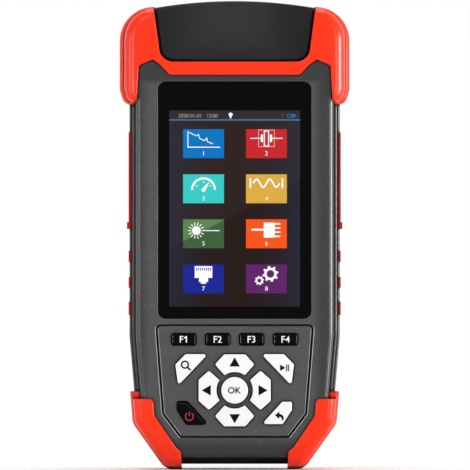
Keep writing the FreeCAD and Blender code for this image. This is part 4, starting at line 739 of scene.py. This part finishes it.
def screen_picture():
    """The lit picture: its ground, a status bar, and two columns of four tiles."""
    line = tuple(screen_point(*point) for point in GLARE_LINE)
    ground = screen_ground("screen_ground", shade(33, 17, 13), shade(32, 33, 48), SCREEN_HALF_WIDTH * MM, line)
    white = screen_colour("screen_white", shade(245, 245, 245))
    tan = screen_colour("screen_tan", shade(150, 135, 128))
    cyan = screen_colour("screen_cyan", shade(28, 120, 170))
    line_blue = screen_colour("screen_line_blue", shade(60, 112, 132))
    dim_red = screen_colour("screen_dim_red", shade(120, 45, 50))
    bar = screen_colour("screen_bar", shade(42, 38, 42))
    width = SCREEN_HALF_WIDTH
    on_screen("screen_ground", drawing("ground", [block(-width, width, 0, SCREEN_HEIGHT)]), (0, 0), 1, ground)
    on_screen("status_bar", drawing("bar", [block(-width, width, BAR_LINE, SCREEN_HEIGHT)]), (0, 0), 2, bar)
    on_screen("status_line", drawing("line", [block(-width, width, BAR_LINE - 0.3, BAR_LINE + 0.25)]),
              (0, 0), 3, line_blue)
    status_signs(white, tan, cyan, dim_red)
    pictures, materials = tile_pictures(), tile_materials()
    for row, up in enumerate(TILE_ROWS):
        for column, across in enumerate(TILE_COLUMNS):
            index = row * 2 + column
            half = (TILE[0] / 2, TILE[1] / 2)
            plate = drawing(f"tile_{index + 1}", [block(-half[0], half[0], -half[1], half[1])])
            on_screen(f"tile_{index + 1}", plate, (across, up), 2, materials[index])
            on_screen(f"tile_{index + 1}_sign", drawing("sign", pictures[index]), (across, up), 3, white)
            on_screen(f"tile_{index + 1}_number", lettering("number", str(index + 1), 1.6),
                      (across, up - 3.6), 3, white)


def status_signs(white, tan, cyan, dim_red):
    """Clock, pointer, link and battery signs in the status bar."""
    level = 71.45
    clock = lettering("clock", "2030-01-01   12:00", 1.38, weight=0.008)
    on_screen("status_clock", clock, (-13.7, level), 3, tan)
    pointer = [(-0.8, 0.5), (0.0, -1.25), (0.8, 0.5), (0.55, 1.0), (0.0, 1.2), (-0.55, 1.0)]
    on_screen("status_pointer", drawing("pointer", [pointer]), (-1.5, level), 3, white)
    link = drawing("link", [stroke([(-0.6, 0.7), (0.0, -0.6), (0.6, 0.7)], 0.25)])
    on_screen("status_link", link, (18.0, level), 3, dim_red)
    cell = [block(-1.45, 1.45, -0.65, 0.65), block(-1.2, 1.2, -0.42, 0.42), block(-0.1, 1.0, -0.25, 0.25),
            block(1.55, 1.8, -0.3, 0.3)]
    on_screen("status_battery", drawing("battery", cell), (21.2, level), 3, cyan)


# ---------------------------------------------------------------- floor, light and camera

WHITE = (1.0, 1.0, 1.0, 1.0)
CAMERA_LENS = 1400.0
SENSOR = 36.0
FRAME_WIDTH = 175.9 * MM
FRAMING = (0.13 * MM, -0.1 * MM)


def background_ray(tree):
    """1 for rays that show the background: those seen directly, in a gloss or through glass."""
    path = tree.nodes.new("ShaderNodeLightPath")
    last = path.outputs["Is Camera Ray"]
    for name in ("Is Glossy Ray", "Is Transmission Ray"):
        either = tree.nodes.new("ShaderNodeMath")
        either.operation = "MAXIMUM"
        tree.links.new(last, either.inputs[0])
        tree.links.new(path.outputs[name], either.inputs[1])
        last = either.outputs[0]
    return last


def make_world(room_light=0.1):
    """A pale room that shows white behind the object."""
    world = bpy.data.worlds.new("studio")
    world.use_nodes = True
    bpy.context.scene.world = world
    tree = world.node_tree
    ground = tree.nodes["Background"]
    strength = tree.nodes.new("ShaderNodeMix")
    tree.links.new(background_ray(tree), strength.inputs[0])
    strength.inputs[2].default_value = room_light
    strength.inputs[3].default_value = 1.0
    tree.links.new(strength.outputs[0], ground.inputs["Strength"])
    ground.inputs["Color"].default_value = WHITE


def make_floor(size=30.0, near=0.02, far=0.11):
    """A plain pale floor that keeps the object's shadow and shows as white as the room from there on."""
    mesh = bpy.data.meshes.new("floor")
    half = size / 2
    mesh.from_pydata([(-half, -half, 0), (half, -half, 0), (half, half, 0), (-half, half, 0)], [], [(0, 1, 2, 3)])
    floor = bpy.data.objects.new("floor", mesh)
    bpy.context.scene.collection.objects.link(floor)
    graph = Graph("floor_white")
    graph.feed(graph.shader.inputs["Base Color"],
               graph.blend(graph.noise(0.2), shade(250, 250, 250), shade(253, 253, 253)))
    graph.set("Roughness", 0.9)
    graph.set("Specular IOR Level", 0.1)
    distance = graph.add("VectorMath", {0: graph.place()}, operation="LENGTH").outputs["Value"]
    fade = graph.add("MapRange", {"Value": distance, "From Min": near, "From Max": far}).outputs["Result"]
    share = graph.math("MULTIPLY", fade, background_ray(graph.tree))
    glow = graph.add("Emission", {"Color": WHITE, "Strength": 1.0}).outputs[0]
    both = graph.add("MixShader", {0: share, 1: graph.shader.outputs[0], 2: glow}).outputs[0]
    graph.tree.links.new(both, graph.tree.nodes["Material Output"].inputs["Surface"])
    mesh.materials.append(graph.material)


def lamp(name, place, target, size, power):
    """A soft box that faces a point."""
    light = bpy.data.lights.new(name, "AREA")
    light.shape = "RECTANGLE"
    light.size, light.size_y = size
    light.energy = power
    box = bpy.data.objects.new(name, light)
    box.location = place
    box.rotation_euler = (Vector(target) - Vector(place)).to_track_quat("-Z", "Y").to_euler()
    bpy.context.scene.collection.objects.link(box)


def make_lights():
    """A key light, a light above, and upright strips beside the object that draw lines on its rounded edges."""
    aim = (CAD_BOX[0] + CAD_BOX[1]) / 2
    lamp("key_light", (-0.4, -1.0, 0.7), aim, (0.5, 0.5), 4.3)
    lamp("right_bank", (1.0, -0.12, 0.09), aim, (0.5, 0.3), 16.0)
    lamp("right_front_strip", (0.64, -0.77, 0.09), aim, (0.1, 0.3), 2.5)
    lamp("left_front_strip", (-0.64, -0.77, 0.09), aim, (0.14, 0.3), 2.4)
    lamp("left_strip", (-0.98, -0.2, 0.09), aim, (0.2, 0.3), 2.2)
    lamp("top_light", (0.0, 0.1, 0.9), aim, (0.6, 0.6), 4.8)


def make_camera():
    """A long lens level with the middle of the object, straight in front of it."""
    camera = bpy.data.cameras.new("camera")
    camera.lens = CAMERA_LENS
    camera.sensor_width = SENSOR
    viewer = bpy.data.objects.new("camera", camera)
    bpy.context.scene.collection.objects.link(viewer)
    bpy.context.scene.camera = viewer
    distance = FRAME_WIDTH * CAMERA_LENS / SENSOR
    middle = (CAD_BOX[0] + CAD_BOX[1]) / 2
    viewer.location = (middle.x + FRAMING[0], CAD_BOX[0].y - distance, FRAME_WIDTH / 2 + FRAMING[1])
    viewer.rotation_euler = (math.pi / 2, 0, 0)
    camera.clip_start, camera.clip_end = 0.1, 60.0


# ---------------------------------------------------------------- the scene

bpy.context.scene.view_settings.view_transform = "Standard"
dress_nodes(make_finishes())
key_legends()
key_beads()
groove_rims()
screen_picture()
make_world()
make_floor()
make_lights()
make_camera()
